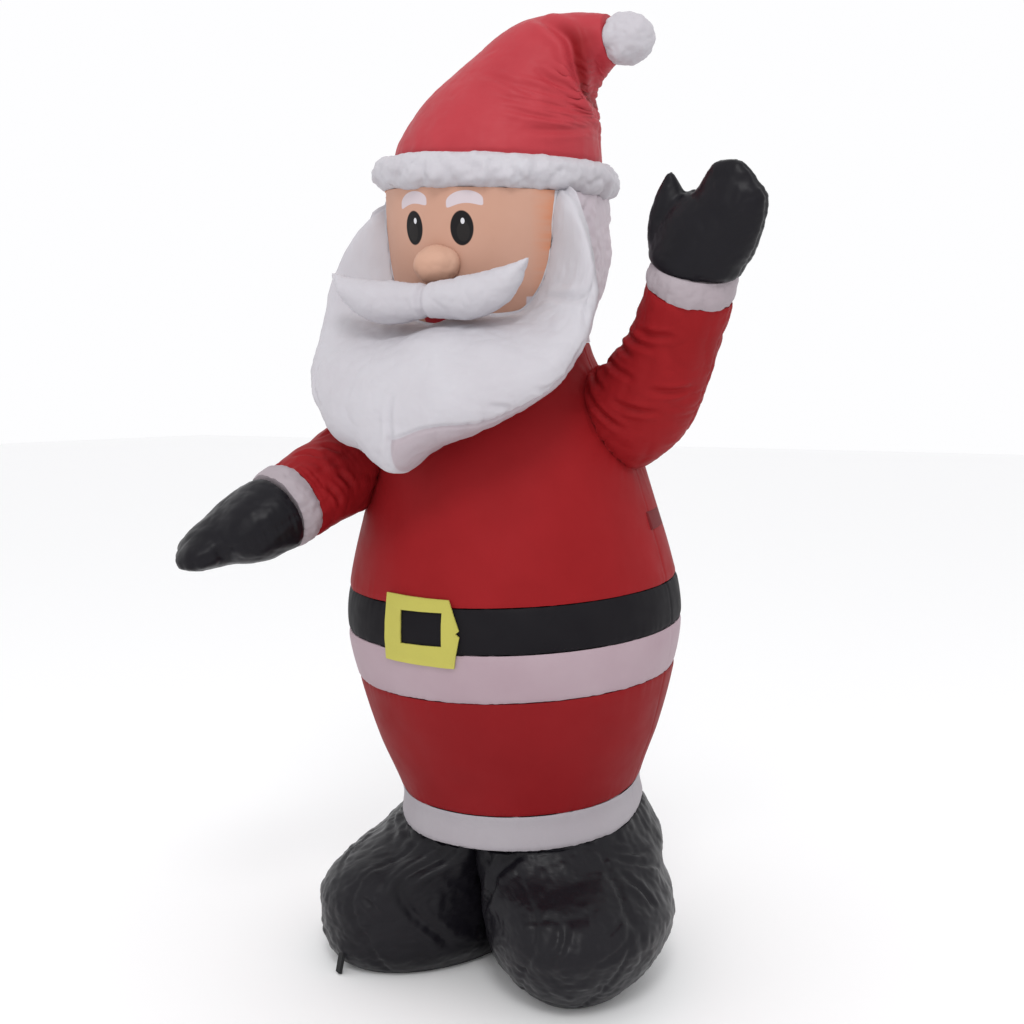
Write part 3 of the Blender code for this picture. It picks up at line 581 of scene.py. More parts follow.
# Seams and folds of the boots. A fold has its depth and width, and the places it runs
# through, as shares up and around the boot.
BOOT_SEAMS = (
    ((0.98, 0.22), (0.85, 0.237), (0.50, 0.30), (0.08, 0.35)),
    ((0.98, 0.095), (0.84, 0.10), (0.55, 0.14), (0.29, 0.173), (0.08, 0.21)),
)
BOOT_FOLDS = {
    1: (
        (0.0050, 0.0060, ((0.95, 0.20), (0.89, 0.237), (0.63, 0.40), (0.37, 0.42))),
        (0.0028, 0.0040, ((0.68, 0.22), (0.57, 0.245), (0.47, 0.27))),
        (0.0024, 0.0035, ((0.90, 0.095), (0.82, 0.04), (0.75, -0.003))),
        (0.0024, 0.0035, ((0.91, 0.085), (0.87, 0.04), (0.85, 0.0))),
        (0.0030, 0.0045, ((0.82, 0.085), (0.72, 0.07), (0.62, 0.065))),
        (0.0024, 0.0040, ((0.80, 0.10), (0.70, 0.115), (0.58, 0.125))),
        (0.0022, 0.0035, ((0.60, 0.13), (0.52, 0.165), (0.48, 0.20))),
        (0.0022, 0.0035, ((0.70, 0.11), (0.64, 0.15), (0.60, 0.19))),
    ),
    -1: (
        (0.0040, 0.0060, ((0.95, 0.28), (0.75, 0.32), (0.50, 0.39), (0.20, 0.45))),
        (0.0030, 0.0035, ((0.60, 0.30), (0.56, 0.325), (0.50, 0.345))),
        (0.0030, 0.0045, ((0.93, 0.08), (0.90, 0.12), (0.86, 0.18))),
        (0.0026, 0.0040, ((0.95, 0.15), (0.90, 0.19), (0.86, 0.24))),
        (0.0022, 0.0035, ((0.80, 0.12), (0.72, 0.16), (0.66, 0.22))),
    ),
}


def above_sole(points):
    """No crumpling at the sole, and all of it from a little way up."""
    return ramp(points[:, 2] / CALM_SOLE)


def stand_on_floor(piece):
    """Press what lies under the floor up to it, for a flat sole."""
    points = points_of(piece)
    points[:, 2] = np.maximum(points[:, 2], 0.0)
    piece.data.vertices.foreach_set("co", points.ravel())
    piece.data.update()


boot_nylon = nylon("boot_nylon", (0.0045, 0.004, 0.006), (0.009, 0.008, 0.011), 0.36, 0.0010,
                   gleam=0.20)
for side, sign in (("left", 1), ("right", -1)):
    boot = cloth_piece("boot_" + side, boot_grid(sign), boot_nylon, "black_nylon",
                       Matrix.Identity(4))
    for size, depth, seed in ((0.075, 0.0026, 4.0), (0.026, 0.0010, 7.0), (0.011, 0.0006, 9.0)):
        crumple(boot, size, depth, seed=seed + sign, where=above_sole)
    for seam in BOOT_SEAMS:
        sew(boot, line_on(boot, *seam), pinch=0.0020, width=0.004, pucker=0.0020, pitch=0.013,
            reach=0.020, seed=seam[0][1])
    sew(boot, seam_round(TRIM_SEAM_LOW, TRIM_LIFT), pinch=0.0010, pucker=0.0022, pitch=0.015,
        reach=0.024, seed=sign)
    for depth, width, fold in BOOT_FOLDS[sign]:
        crease(boot, depth, width, *fold)
    stand_on_floor(boot)
# Painted shade: the boot trim's white is a much darker copy of the white cloth, for the shade low down.
shaded_trim_nylon = nylon("shaded_trim_nylon", (0.36, 0.337, 0.36), (0.33, 0.30, 0.325), 0.60, 0.0004)
body_band("boot_trim", shaded_trim_nylon, "white_nylon", TRIM_SEAM_LOW, TRIM_SEAM_HIGH, 26,
          low_lift=TRIM_LIFT, high_lift=0.6 * TRIM_LIFT)

# Stake loop. A short strip of black webbing, folded in two and sewn to the front of the
# right boot, for a ground stake.
webbing = nylon("webbing", (0.012, 0.012, 0.013), (0.02, 0.02, 0.021), 0.7, 0.0004)
loop_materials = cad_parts["stake_loop"].data.materials
loop_materials.clear()
loop_materials.append(webbing)

# Face and hair. A skin-coloured panel at the front of the head, with eyes, brows and a
# mouth printed on it, and a white panel round the back, sewn together at two side seams.
FACE_HALF_ANGLE = math.radians(63.0)
HEAD_TOP = CROWN + 0.012
HEAD_CORE = 0.02
HAT_TILT = math.radians(5.0)
BRIM_RADIUS = 0.13185
BRIM_THICKNESS = 0.041
HAT_PLACE = (BODY_PLACE @ Matrix.Translation((0.0, 0.0, CROWN))
             @ Matrix.Rotation(HAT_TILT, 4, "Y"))


def inside_brim(points):
    """Draw points of the head in to the plane of the brim and clear of its round tube."""
    local = placed(points, (HAT_PLACE.inverted() @ BODY_PLACE))
    local[..., 2] = np.minimum(local[..., 2], -SEAM_GAP)
    rho = np.hypot(local[..., 0], local[..., 1])
    out = np.stack([rho - BRIM_RADIUS, local[..., 2]], axis=-1)
    gap = np.linalg.norm(out, axis=-1)
    room = BRIM_THICKNESS / 2 + SEAM_GAP
    inside = gap < room
    down = -np.sqrt(np.maximum(room**2 - out[..., 0] ** 2, 0.0))
    local[..., 2] = np.where(inside, np.minimum(local[..., 2], down), local[..., 2])
    return placed(local, BODY_PLACE.inverted() @ HAT_PLACE)


def head_grid(turns, rows, hollow):
    """Rings of a head panel: its outer face, then back through the middle of the head."""
    share = np.linspace(0.0, 1.0, rows)[:, None]
    heights = NECK + SEAM_GAP + (HEAD_TOP - NECK) * share
    outer = turned(body_radius(heights), turns, heights)
    back = turned(np.full((rows, 1), HEAD_CORE), hollow, heights)
    return inside_brim(np.concatenate([outer, back], axis=1))


SKIN = (0.52, 0.30, 0.225)
SKIN_SHADE = (0.48, 0.265, 0.19)
SEAM_SHADE_ORANGE = (0.60, 0.20, 0.08)
UNDER_BEARD_WHITE = (0.54, 0.48, 0.52)
UNDER_BEARD_SIDE = 0.106
UNDER_BEARD_TOP = 0.851
# Eyes, the lighter rings in them, their glints, the brows, and the mouth: where the two of a
# pair lie across and up the face, half their width and height, their bend and their colour.
PRINTS = (
    (((0.0301, 0.9317), (-0.0376, 0.9371)), (0.0143, 0.0197), 0.0, (0.006, 0.005, 0.006)),
    (((0.0316, 0.9277), (-0.0396, 0.9331)), (0.0080, 0.0115), 0.0, (0.014, 0.012, 0.012)),
    (((0.0316, 0.9395), (-0.0346, 0.9449)), (0.0024, 0.0034), 0.0, (0.62, 0.62, 0.65)),
    (((0.0345, 0.9665), (-0.0375, 0.9720)), (0.0225, 0.0072), 13.0, (0.56, 0.485, 0.515)),
    (((-0.030, 0.830), (-0.030, 0.830)), (0.026, 0.011), 0.0, (0.34, 0.012, 0.018)),
)


def print_shapes(tree, place, middles, half_sizes, bend):
    """Where a pair of printed ovals lies; with a bend, its ends turn down and are blunt."""
    sizes = []
    for across, height in middles:
        shift = add_node(tree, "VectorMath", place, (across, 0.0, height), operation="SUBTRACT")
        x, _, z = add_node(tree, "SeparateXYZ", shift.outputs["Vector"]).outputs
        square = add_node(tree, "Math", x, x, operation="MULTIPLY").outputs["Value"]
        rise = add_node(tree, "Math", square, bend, z, operation="MULTIPLY_ADD")
        bent = add_node(tree, "CombineXYZ", x, 0.0, rise.outputs["Value"]).outputs["Vector"]
        halves = (half_sizes[0], 1.0, half_sizes[1])
        oval = add_node(tree, "VectorMath", bent, halves, operation="DIVIDE").outputs["Vector"]
        if bend:
            oval = add_node(tree, "VectorMath", oval, oval, operation="MULTIPLY").outputs["Vector"]
        sizes.append(add_node(tree, "VectorMath", oval, operation="LENGTH").outputs["Value"])
    nearest = add_node(tree, "Math", *sizes, operation="MINIMUM").outputs["Value"]
    edge = add_node(tree, "MapRange", nearest, from_min=1.03, from_max=0.97)
    return edge.outputs["Result"]


def tint(cloth, mask, colour):
    """Another colour over a cloth where the mask is one."""
    base = cloth.node_tree.nodes["Principled BSDF"].inputs["Base Color"]
    colour_mix(cloth.node_tree, mask, base.links[0].from_socket, colour)


def printed_face():
    """Skin-coloured nylon with painted shade in orange streaks by its side seams, white under the
    beard, and print.
    """
    cloth = nylon("face_nylon", SKIN, SKIN_SHADE, 0.60, 0.0003)
    tree = cloth.node_tree
    place = add_node(tree, "Attribute", attribute_name="face_map").outputs["Vector"]
    across, _, height = add_node(tree, "SeparateXYZ", place).outputs
    side = add_node(tree, "Math", across, operation="ABSOLUTE").outputs["Value"]
    near_seam = add_node(tree, "MapRange", side, from_min=0.110, from_max=0.142)
    flat = add_node(tree, "VectorMath", place, (18.0, 1.0, 150.0), operation="MULTIPLY")
    stripes = soft_noise(tree, flat.outputs["Vector"], 1.0, 2.0, 0.1, 0.9)
    out_at_side = add_node(tree, "MapRange", side, from_min=UNDER_BEARD_SIDE - 0.001,
                           from_max=UNDER_BEARD_SIDE + 0.001)
    low_down = add_node(tree, "MapRange", height, from_min=UNDER_BEARD_TOP + 0.001,
                        from_max=UNDER_BEARD_TOP - 0.001)
    # Painted shade: orange streaks where the cloth gathers near the side seams. Then the white under
    # the beard.
    for share, other, colour in ((near_seam, stripes, SEAM_SHADE_ORANGE),
                                 (out_at_side, low_down.outputs["Result"], UNDER_BEARD_WHITE)):
        mask = add_node(tree, "Math", share.outputs["Result"], other, operation="MULTIPLY")
        tint(cloth, mask.outputs["Value"], colour)
    for *shapes, colour in PRINTS:
        tint(cloth, print_shapes(tree, place, *shapes), colour)
    return cloth


def mark(piece, name, values):
    """Keep values for the rows of points of a piece on its mesh, for its cloth to read."""
    kind, channel = ("FLOAT", "value") if values.ndim == 2 else ("FLOAT_VECTOR", "vector")
    whole = np.zeros((len(piece.data.vertices), values[0, 0].size))
    whole[:values.shape[0] * values.shape[1]] = values.reshape(-1, whole.shape[1])
    piece.data.attributes.new(name, kind, "POINT").data.foreach_set(channel, whole.ravel())


face_turns = np.linspace(-FACE_HALF_ANGLE + 0.001, FACE_HALF_ANGLE - 0.001, 240)
face_rings = head_grid(face_turns, 120, np.array([0.0]))
face = cloth_piece("face", face_rings, printed_face(), "skin_nylon")
across = np.arctan2(face_rings[..., 0], -face_rings[..., 1]) * body_radius(EYES)
mark(face, "face_map", np.stack([across, 0 * across, face_rings[..., 2]], axis=-1))
hair_nylon = nylon("hair_nylon", (0.56, 0.51, 0.55), (0.50, 0.43, 0.47), 0.58, 0.0014)
hair_turns = np.linspace(FACE_HALF_ANGLE + 0.001, math.tau - FACE_HALF_ANGLE - 0.001, 300)
hair = cloth_piece("hair", head_grid(hair_turns, 90, np.array([math.pi])), hair_nylon,
                   "white_nylon")
crumple(hair, 0.034, 0.0032, seed=1.5, stretch=(1.0, 1.0, 1.6))
crumple(hair, 0.013, 0.0012, seed=2.5)
for panel in (face, hair):
    for sign in (1, -1):
        sew(panel, seam_up(sign * FACE_HALF_ANGLE, NECK, CROWN, 200), pinch=0.0014,
            pucker=0.0012, pitch=0.008, reach=0.012)

# Nose. A small bump of skin-coloured nylon, sewn to the middle of the face and filled with
# air from inside the head.
NOSE_HEIGHT = EYES - 0.048
NOSE_HALF = (0.0265, 0.022, 0.0205)


def ball_grid(centre, half_sizes):
    """Rings of a round body from its top to its bottom."""
    tilt = np.linspace(0.02, math.pi - 0.02, 60)[:, None]
    turns = round_turns(90)
    shape = np.broadcast_arrays(np.cos(turns) * np.sin(tilt), np.sin(turns) * np.sin(tilt),
                                np.cos(tilt) + 0 * turns)
    return np.array(centre) + np.stack(shape, axis=-1) * np.array(half_sizes)


def off_body(grid, clearance=0.0006):
    """Push points that fall inside the round body out to its surface."""
    rho = np.hypot(grid[..., 0], grid[..., 1])
    least = body_radius(grid[..., 2]) + clearance
    scale = np.maximum(least / np.maximum(rho, 1e-6), 1.0)
    inside = (grid[..., 2] > BELT_BOTTOM) & (grid[..., 2] < CROWN + 0.02)
    scale = np.where(inside, scale, 1.0)
    return grid * np.stack([scale, scale, np.ones_like(scale)], axis=-1)


nose_middle = (-0.004, -float(body_radius(NOSE_HEIGHT)) - 0.35 * NOSE_HALF[1], NOSE_HEIGHT)
nose_grid = ball_grid(nose_middle, NOSE_HALF)
root = ramp((nose_grid[..., 1] - nose_middle[1]) / NOSE_HALF[1] + 0.6)[..., None]
nose_grid = nose_middle + (nose_grid - nose_middle) * (1.0 + 0.16 * root * (1.0, 0.0, 1.0))
nose_nylon = nylon("nose_nylon", (0.56, 0.34, 0.25), (0.52, 0.30, 0.215), 0.60, 0.0004)
nose = cloth_piece("nose", off_body(nose_grid), nose_nylon, "skin_nylon")
crumple(nose, 0.022, 0.0010, seed=3.0)

# Beard. One white pillow of thin nylon that wraps the chin from temple to temple, with a
# hooked point, and a narrow strip sewn in along its underside.
BEARD_HALF_ANGLE = math.radians(71.0)
BEARD_LOW = NECK - 0.107
BEARD_HIGH = CROWN - 0.015
BEARD_REACH = 0.262
BEARD_LOWER_EDGE = ((0.0, 0.0), (0.22, 0.020), (0.44, 0.094), (0.63, 0.202), (0.82, 0.394),
                    (0.90, 0.572), (1.0, 0.916))
BEARD_UPPER_EDGE = ((0.0, 0.505), (0.55, 0.498), (0.70, 0.582), (0.78, 0.714), (0.84, 0.966),
                    (1.0, 1.0))
BEARD_FRONT = ((0.0, 1.0), (0.44, 0.966), (0.63, 0.935), (0.82, 0.847), (0.90, 0.744),
               (1.0, 0.603))
BEARD_SEAT = 0.065
BEARD_DROOP = 0.7
BEARD_TIP_DROP = 0.034
BEARD_FULL_SIDE = 0.013
MOUTH_GAP = 0.010
MOUTH_TURN = -0.20
STRAP_EDGE = math.radians(60.0)


def beard_grid():
    """Outlines of the beard in planes through the body's axis, from temple to temple."""
    steps = np.linspace(-1.0, 1.0, 260)
    azimuth = BEARD_HALF_ANGLE * np.sign(steps) * np.abs(steps) ** 1.1
    share = (np.abs(azimuth) / BEARD_HALF_ANGLE)[:, None]
    depth = BEARD_HIGH - BEARD_LOW
    low = BEARD_LOW + depth * smooth_curve(BEARD_LOWER_EDGE, share)
    low = low - BEARD_FULL_SIDE * np.exp(-(((azimuth[:, None] + 0.36) / 0.20) ** 2))
    high = BEARD_LOW + depth * smooth_curve(BEARD_UPPER_EDGE, share)
    high = high - MOUTH_GAP * np.exp(-(((azimuth - MOUTH_TURN) / 0.30) ** 2))[:, None]
    reach = BEARD_REACH * smooth_curve(BEARD_FRONT, share)
    turn = np.linspace(0.0, math.pi, 200)
    out = np.sin(turn) ** 0.45
    fall = ((1.0 - np.cos(turn) + BEARD_DROOP * np.sin(turn))
            / (1.0 + math.hypot(1.0, BEARD_DROOP)))
    hook = np.sin(turn) * (1.0 - np.cos(turn)) / 2 / (3 * math.sqrt(3) / 8)
    drop = BEARD_TIP_DROP * np.exp(-(((azimuth[:, None] + 0.03) / 0.15) ** 2))
    heights = high - (high - low) * fall - drop * hook
    over = np.maximum(np.abs(azimuth) - STRAP_EDGE, 0.0)[:, None]
    narrowing = ramp((heights - EYES + 0.06) / 0.10)
    turns = azimuth[:, None] - np.sign(azimuth)[:, None] * over * 0.6 * narrowing
    return turned(BEARD_SEAT + (reach - BEARD_SEAT) * out, turns, heights)


def shares_over(piece):
    """How far along and around a piece each of its points is."""
    rows, columns = RINGS[piece.name].shape[:2]
    return np.meshgrid(np.linspace(0.0, 1.0, rows), np.arange(columns) / columns, indexing="ij")


# The seam of the strip on the underside, and the folds, each with its depth and width.
STRIP_SEAM = ((0.507, 0.493), (0.62, 0.58), (0.71, 0.65), (0.80, 0.66), (0.88, 0.55))
BEARD_FOLDS = (
    (0.0030, 0.0040, ((0.500, 0.33), (0.503, 0.42), (0.507, 0.50), (0.48, 0.64))),
    (0.0040, 0.0050, ((0.925, 0.42), (0.913, 0.387), (0.88, 0.22), (0.854, 0.073))),
    (0.0020, 0.0030, ((0.905, 0.45), (0.90, 0.36), (0.885, 0.28))),
    (0.0020, 0.0030, ((0.885, 0.45), (0.89, 0.33), (0.87, 0.22))),
    (0.0022, 0.0035, ((0.78, 0.52), (0.80, 0.60), (0.83, 0.62))),
    (0.0018, 0.0030, ((0.70, 0.52), (0.73, 0.58), (0.74, 0.64))),
    (0.0018, 0.0030, ((0.40, 0.60), (0.43, 0.66), (0.45, 0.72))),
    (0.0018, 0.0030, ((0.20, 0.30), (0.23, 0.42), (0.28, 0.50))),
)
WHITE = (0.52, 0.507, 0.54)
PINKISH_WHITE = (0.475, 0.452, 0.485)
beard_nylon = nylon("beard_nylon", WHITE, PINKISH_WHITE, 0.55, 0.0009, milky=0.1)
# Painted shade with a painted red reflection from the jacket below: a darker, pinker white on the strip
# under the beard.
strip_shade = add_node(beard_nylon.node_tree, "Attribute", attribute_name="strip")
tint(beard_nylon, strip_shade.outputs["Fac"], (0.40, 0.345, 0.375))
beard_rings = inside_brim(off_body(beard_grid()))
beard = cloth_piece("beard", beard_rings, beard_nylon, "white_nylon")
crumple(beard, 0.060, 0.0020, seed=1.0)
crumple(beard, 0.020, 0.0006, seed=2.0)
sew(beard, line_on(beard, *STRIP_SEAM), pinch=0.0030, width=0.003, pucker=0.0016, pitch=0.010,
    reach=0.014)
# Where that painted shade lies: the strip below its seam, between its ends.
along, around = shares_over(beard)
below = ramp((around - smooth_curve(STRIP_SEAM, along)) * 200)
ends = ramp((along - 0.505) * 260) * ramp((0.885 - along) * 60)
mark(beard, "strip", below * ends)
for depth, width, fold in BEARD_FOLDS:
    crease(beard, depth, width, *fold)

# Moustache. A white crescent pillow of the beard's nylon with free tips, pinched in and
# sewn on under the nose by its middle.
MOUSTACHE_HALF_SPAN = 0.136
MOUSTACHE_HALF_THICK = 0.022
MOUSTACHE_MIDDLE = BEARD_LOW + 0.505 * (BEARD_HIGH - BEARD_LOW) + 0.012
MOUSTACHE_LIFT = 0.040
MOUSTACHE_FRONT = -float(body_radius(EYES)) - 1.35 * MOUSTACHE_HALF_THICK


def moustache_grid():
    """Rings of the moustache from its right tip to its left tip."""
    steps = np.linspace(-0.995, 0.995, 240)[:, None]
    share = np.abs(steps)
    rise = MOUSTACHE_LIFT * smooth_curve(((0, 0), (0.50, 0.06), (0.82, 0.42), (1, 1)), share)
    thick = MOUSTACHE_HALF_THICK * smooth_curve(
        ((0, 0.84), (0.08, 0.96), (0.50, 1.15), (0.82, 0.80), (0.95, 0.32), (1, 0.04)), share)
    turns = round_turns(96)
    depth = np.sign(np.cos(turns)) * np.abs(np.cos(turns)) ** 1.2
    across = MOUSTACHE_HALF_SPAN * steps + 0 * turns
    return np.stack([across, MOUSTACHE_FRONT - 0.95 * thick * depth,
                     MOUSTACHE_MIDDLE + rise + thick * np.sin(turns)], axis=-1)


moustache = cloth_piece("moustache", off_body(moustache_grid()), beard_nylon, "white_nylon")
crumple(moustache, 0.035, 0.0012, seed=6.0)
crumple(moustache, 0.014, 0.0004, seed=7.0)
for around in (0.25, 0.75):
    sew(moustache, line_on(moustache, (0.0, around), (1.0, around)), pinch=0.0006,
        pucker=0.0011, pitch=0.009, reach=0.010, seed=around)
crease(moustache, 0.0020, 0.0040, (0.492, 0.30), (0.496, 0.0), (0.50, -0.30))

# Hat. A bent cone of red nylon that falls to the figure's left. The air keeps it up, and
# its cloth is folded, and partly doubled over, where it bends.
HAT_RADIUS = 0.1339
HAT_RISE = 0.158
HAT_REACH = 0.149
# Shares of the reach, the rise and the radius, and how far the cone leans, in degrees.
HAT_KNOTS = (
    (0.000, 0.000, 1.000, 0.0),
    (0.028, 0.250, 0.935, 1.0),
    (0.117, 0.460, 0.826, 5.0),
    (0.263, 0.650, 0.665, 14.0),
    (0.452, 0.825, 0.480, 28.0),
    (0.715, 0.955, 0.325, 47.0),
    (1.000, 1.000, 0.196, 80.0),
)


def hat_grid():
    """Rings of the hat from inside its rim to its tip, with a crest and folds at the bend."""
    places = np.linspace(0.45, len(HAT_KNOTS) - 1, 150)
    reach, rise, share, lean_over = knot_curves(HAT_KNOTS, places)[..., None]
    slope = np.radians(lean_over)
    turns = round_turns(220)
    radius = HAT_RADIUS * share
    bend = (ramp(np.cos(turns - 0.1)) ** 0.7
            * np.sin(np.pi * ramp((places[:, None] - 1.2) / 4.6)) ** 0.8)
    folds = np.array([[abs(noise.noise((p * 3.4 + 0.9 * math.sin(t), 1.9 * math.cos(t),
                                        1.9 * math.sin(t)))) for t in turns.tolist()]
                      for p in places.tolist()])
    crest = 0.25 * np.exp(-((places[:, None] - 4.7) ** 2))
    radius = radius * (1.0 + crest * ramp(-np.cos(turns)) ** 1.5)
    radius = radius + 0.005 * bend * (folds - 0.25)
    across = radius * np.cos(turns)
    grid = np.stack([reach * HAT_REACH + across * np.cos(slope), radius * np.sin(turns),
                     rise * HAT_RISE - across * np.sin(slope)], axis=-1)
    gap = np.hypot(grid[..., 0], grid[..., 1]) - BRIM_RADIUS
    room = BRIM_THICKNESS / 2 + 2 * SEAM_GAP
    on_brim = np.sqrt(np.maximum(room**2 - gap**2, 0.0))
    grid[..., 2] = np.where(places[:, None] < 1.0, np.maximum(grid[..., 2], on_brim), grid[..., 2])
    return grid


# Folds with their depth and width, and the places of the line along which the cloth doubles, past which
# the hat is painted darker as shade.
HAT_FOLDS = (
    (0.0085, 0.0070, ((0.79, 0.56), (0.85, 0.76), (0.72, 0.92), (0.52, 1.02))),
    (0.0060, 0.0120, ((0.93, 0.70), (0.88, 0.90), (0.66, 1.02), (0.50, 1.06))),
    (0.0028, 0.0045, ((0.50, 1.02), (0.50, 0.90), (0.49, 0.80), (0.49, 0.72))),
    (0.0028, 0.0045, ((0.46, 1.02), (0.43, 0.93), (0.44, 0.84), (0.46, 0.78))),
    (0.0024, 0.0045, ((0.56, 1.01), (0.58, 0.93), (0.60, 0.86), (0.63, 0.80))),
    (0.0030, 0.0045, ((0.41, 1.02), (0.37, 0.93), (0.37, 0.84), (0.39, 0.79))),
    (0.0028, 0.0045, ((0.35, 1.02), (0.29, 0.94), (0.28, 0.88), (0.30, 0.82))),
    (0.0024, 0.0045, ((0.27, 1.02), (0.21, 0.96), (0.17, 0.91), (0.15, 0.86))),
    (0.0020, 0.0045, ((0.48, 1.04), (0.44, 1.12), (0.42, 1.20), (0.44, 1.28))),
    (0.0020, 0.0045, ((0.54, 1.04), (0.56, 1.12), (0.58, 1.20), (0.60, 1.26))),
    (0.0028, 0.0045, ((0.38, 1.04), (0.32, 1.12), (0.30, 1.20), (0.32, 1.27))),
)
FOLD_SHADE_LINE = ((0.56, 0.79), (0.76, 0.85), (0.92, 0.72), (1.02, 0.52), (1.10, 0.44))
# Painted light: the hat's red is much lighter than the jacket's, for light coming through its thin
# cloth.
hat_nylon = nylon("hat_nylon", (0.43, 0.040, 0.052), (0.37, 0.029, 0.040), 0.52, 0.0007)
hat = cloth_piece("hat", hat_grid(), hat_nylon, "red_nylon", HAT_PLACE)
# Painted shade: a darker red on the hat past the line where it doubles over, for the shaded underside
# of that fold.
painted_fold_shade = add_node(hat_nylon.node_tree, "Attribute", attribute_name="painted_fold_shade")
tint(hat_nylon, painted_fold_shade.outputs["Fac"], (0.235, 0.008, 0.011))
crumple(hat, 0.10, 0.0016, seed=2.0)
crumple(hat, 0.030, 0.0007, seed=3.0)
for depth, width, fold in HAT_FOLDS:
    crease(hat, depth, width, *fold)
# Where that painted shade lies: past the fold's line, on the far side of the bend.
along, around = shares_over(hat)
around = np.where(around < 0.3, around + 1.0, around)
past_line = along - smooth_curve(FOLD_SHADE_LINE, around)
mark(hat, "painted_fold_shade", ramp(past_line * 70) * ramp((0.16 - past_line) * 9)
     * ramp((around - 0.64) * 8) * ramp((1.16 - around) * 9))
sew(hat, line_on(hat, (0.0, 0.055), (0.25, 0.05), (0.50, 0.045)), pinch=0.0012, pucker=0.0014,
    pitch=0.010, reach=0.014)
sew(hat, line_on(hat, *((0.0, share) for share in np.linspace(0.0, 1.0, 41))),
    pucker=0.0014, pitch=0.012, reach=0.016, seed=3.0)

# Rim of the hat. A fat tube of white nylon, filled tight and crumpled all round, sewn on
# between the hat and the panels of the head.
tube_turns = round_turns(44)[:, None]
rim_turns = round_turns(360)
tube = BRIM_THICKNESS / 2
rim = BRIM_RADIUS + tube * np.cos(tube_turns)
rim_rings = np.stack([rim * np.cos(rim_turns), rim * np.sin(rim_turns),
                      tube * np.sin(tube_turns) + 0 * rim_turns], axis=-1)
brim_nylon = nylon("brim_nylon", WHITE, PINKISH_WHITE, 0.56, 0.0017, milky=0.1)
brim = loop_piece("hat_brim", rim_rings, brim_nylon, "white_nylon", HAT_PLACE)


def off_the_hat(points):
    """Less crumpling where the rim bears the hat on its top and the head below."""
    local = placed(points, HAT_PLACE.inverted())
    out = np.hypot(local[:, 0], local[:, 1]) - BRIM_RADIUS
    return ramp(0.25 + out / BRIM_THICKNESS * 1.6)


crumple(brim, 0.034, 0.0044, seed=1.0, where=off_the_hat)
crumple(brim, 0.013, 0.0016, seed=2.0, where=off_the_hat)

# Bobble. A ball of the rim's white nylon, sewn by one side to the tip of the hat, so it is
# flat where it sits on the cloth.
POMPOM_RADIUS = 0.030
HAT_END = np.array((HAT_REACH, 0.0, HAT_RISE))
end_way = np.array((math.cos(math.radians(10.0)), 0.0, math.sin(math.radians(-2.0))))
pompom_grid = ball_grid(HAT_END + 0.66 * POMPOM_RADIUS * end_way,
                        (1.14 * POMPOM_RADIUS, POMPOM_RADIUS, POMPOM_RADIUS))
past_end = (pompom_grid - HAT_END) @ end_way
pompom_grid += np.maximum(0.0006 - past_end, 0.0)[..., None] * end_way
pompom = cloth_piece("pompom", pompom_grid, brim_nylon, "white_nylon", HAT_PLACE)
crumple(pompom, 0.030, 0.0030, seed=5.0)
crumple(pompom, 0.012, 0.0008, seed=6.0)

# Arms. Red sleeves with white cuffs and black mittens, one arm raised and one held out
# forward; the sleeves crease at the elbow and gather where they join the body.
ARM_LENGTH = 0.320
WRIST_RADIUS = 0.0495
CUFF_LENGTH = 0.028
SLEEVE_ROOT = 0.070
SLEEVE_STEPS = 360
SLEEVE_COLUMNS = 160
CUFF_STEPS = 24
CAP_RINGS = 12
UP = (0.0, 0.0, 1.0)
SLEEVE_RADII = ((-0.25, 0.044), (0.0, 0.070), (0.45, 0.064), (0.8, 0.052), (1.0, WRIST_RADIUS))
# For each arm: its shoulder, its path as shares of its length, and which way its fingers
# point, its palm faces and its thumb lies.
ARMS = {
    "left": ((0.060, 0.0, 0.690),
             ((0.0, 0.0, 0.0), (0.188, -0.006, 0.019), (0.363, -0.063, 0.100),
              (0.494, -0.131, 0.250), (0.581, -0.194, 0.400), (0.631, -0.238, 0.506),
              (0.656, -0.263, 0.575)),
             (0.40, -0.35, 0.84), (0.0, -1.0, 0.0), (-1.0, 0.0, 0.0)),
    "right": ((-0.080, 0.010, 0.708),
              ((0.0, 0.0, 0.0), (-0.181, -0.125, -0.069), (-0.253, -0.344, -0.156),
               (-0.288, -0.578, -0.247), (-0.316, -0.775, -0.325), (-0.331, -0.863, -0.359)),
              (-0.33, -0.86, -0.44), (0.0, 0.0, -1.0), (1.0, 0.0, 0.0)),
}
# Where the long seam is round each sleeve, and its folds, from start to end along and around.
SLEEVE_SEAM = {"left": 0.56, "right": 0.82}
SLEEVE_FOLDS = {
    "left": (((0.13, 0.06), (0.30, 0.22)), ((0.16, 0.00), (0.42, 0.12)), ((0.12, 0.16), (0.24, 0.34)),
             ((0.40, 0.10), (0.50, 0.28)), ((0.52, 0.06), (0.60, 0.24)), ((0.64, 0.10), (0.72, 0.30)),
             ((0.30, 0.26), (0.42, 0.40)), ((0.74, 0.20), (0.84, 0.36)), ((0.50, 0.34), (0.60, 0.48))),
    "right": (((0.55, 0.90), (0.75, 0.98)), ((0.62, 0.84), (0.78, 0.92)), ((0.78, 0.86), (0.92, 0.96)),
              ((0.50, 0.70), (0.70, 0.78)), ((0.70, 0.66), (0.86, 0.76)), ((0.45, 0.86), (0.56, 0.96))),
}


def lengths_along(path):
    """How far along a path each of its points is."""
    steps = np.linalg.norm(np.diff(path, axis=0), axis=1)
    return np.concatenate([[0.0], np.cumsum(steps)])


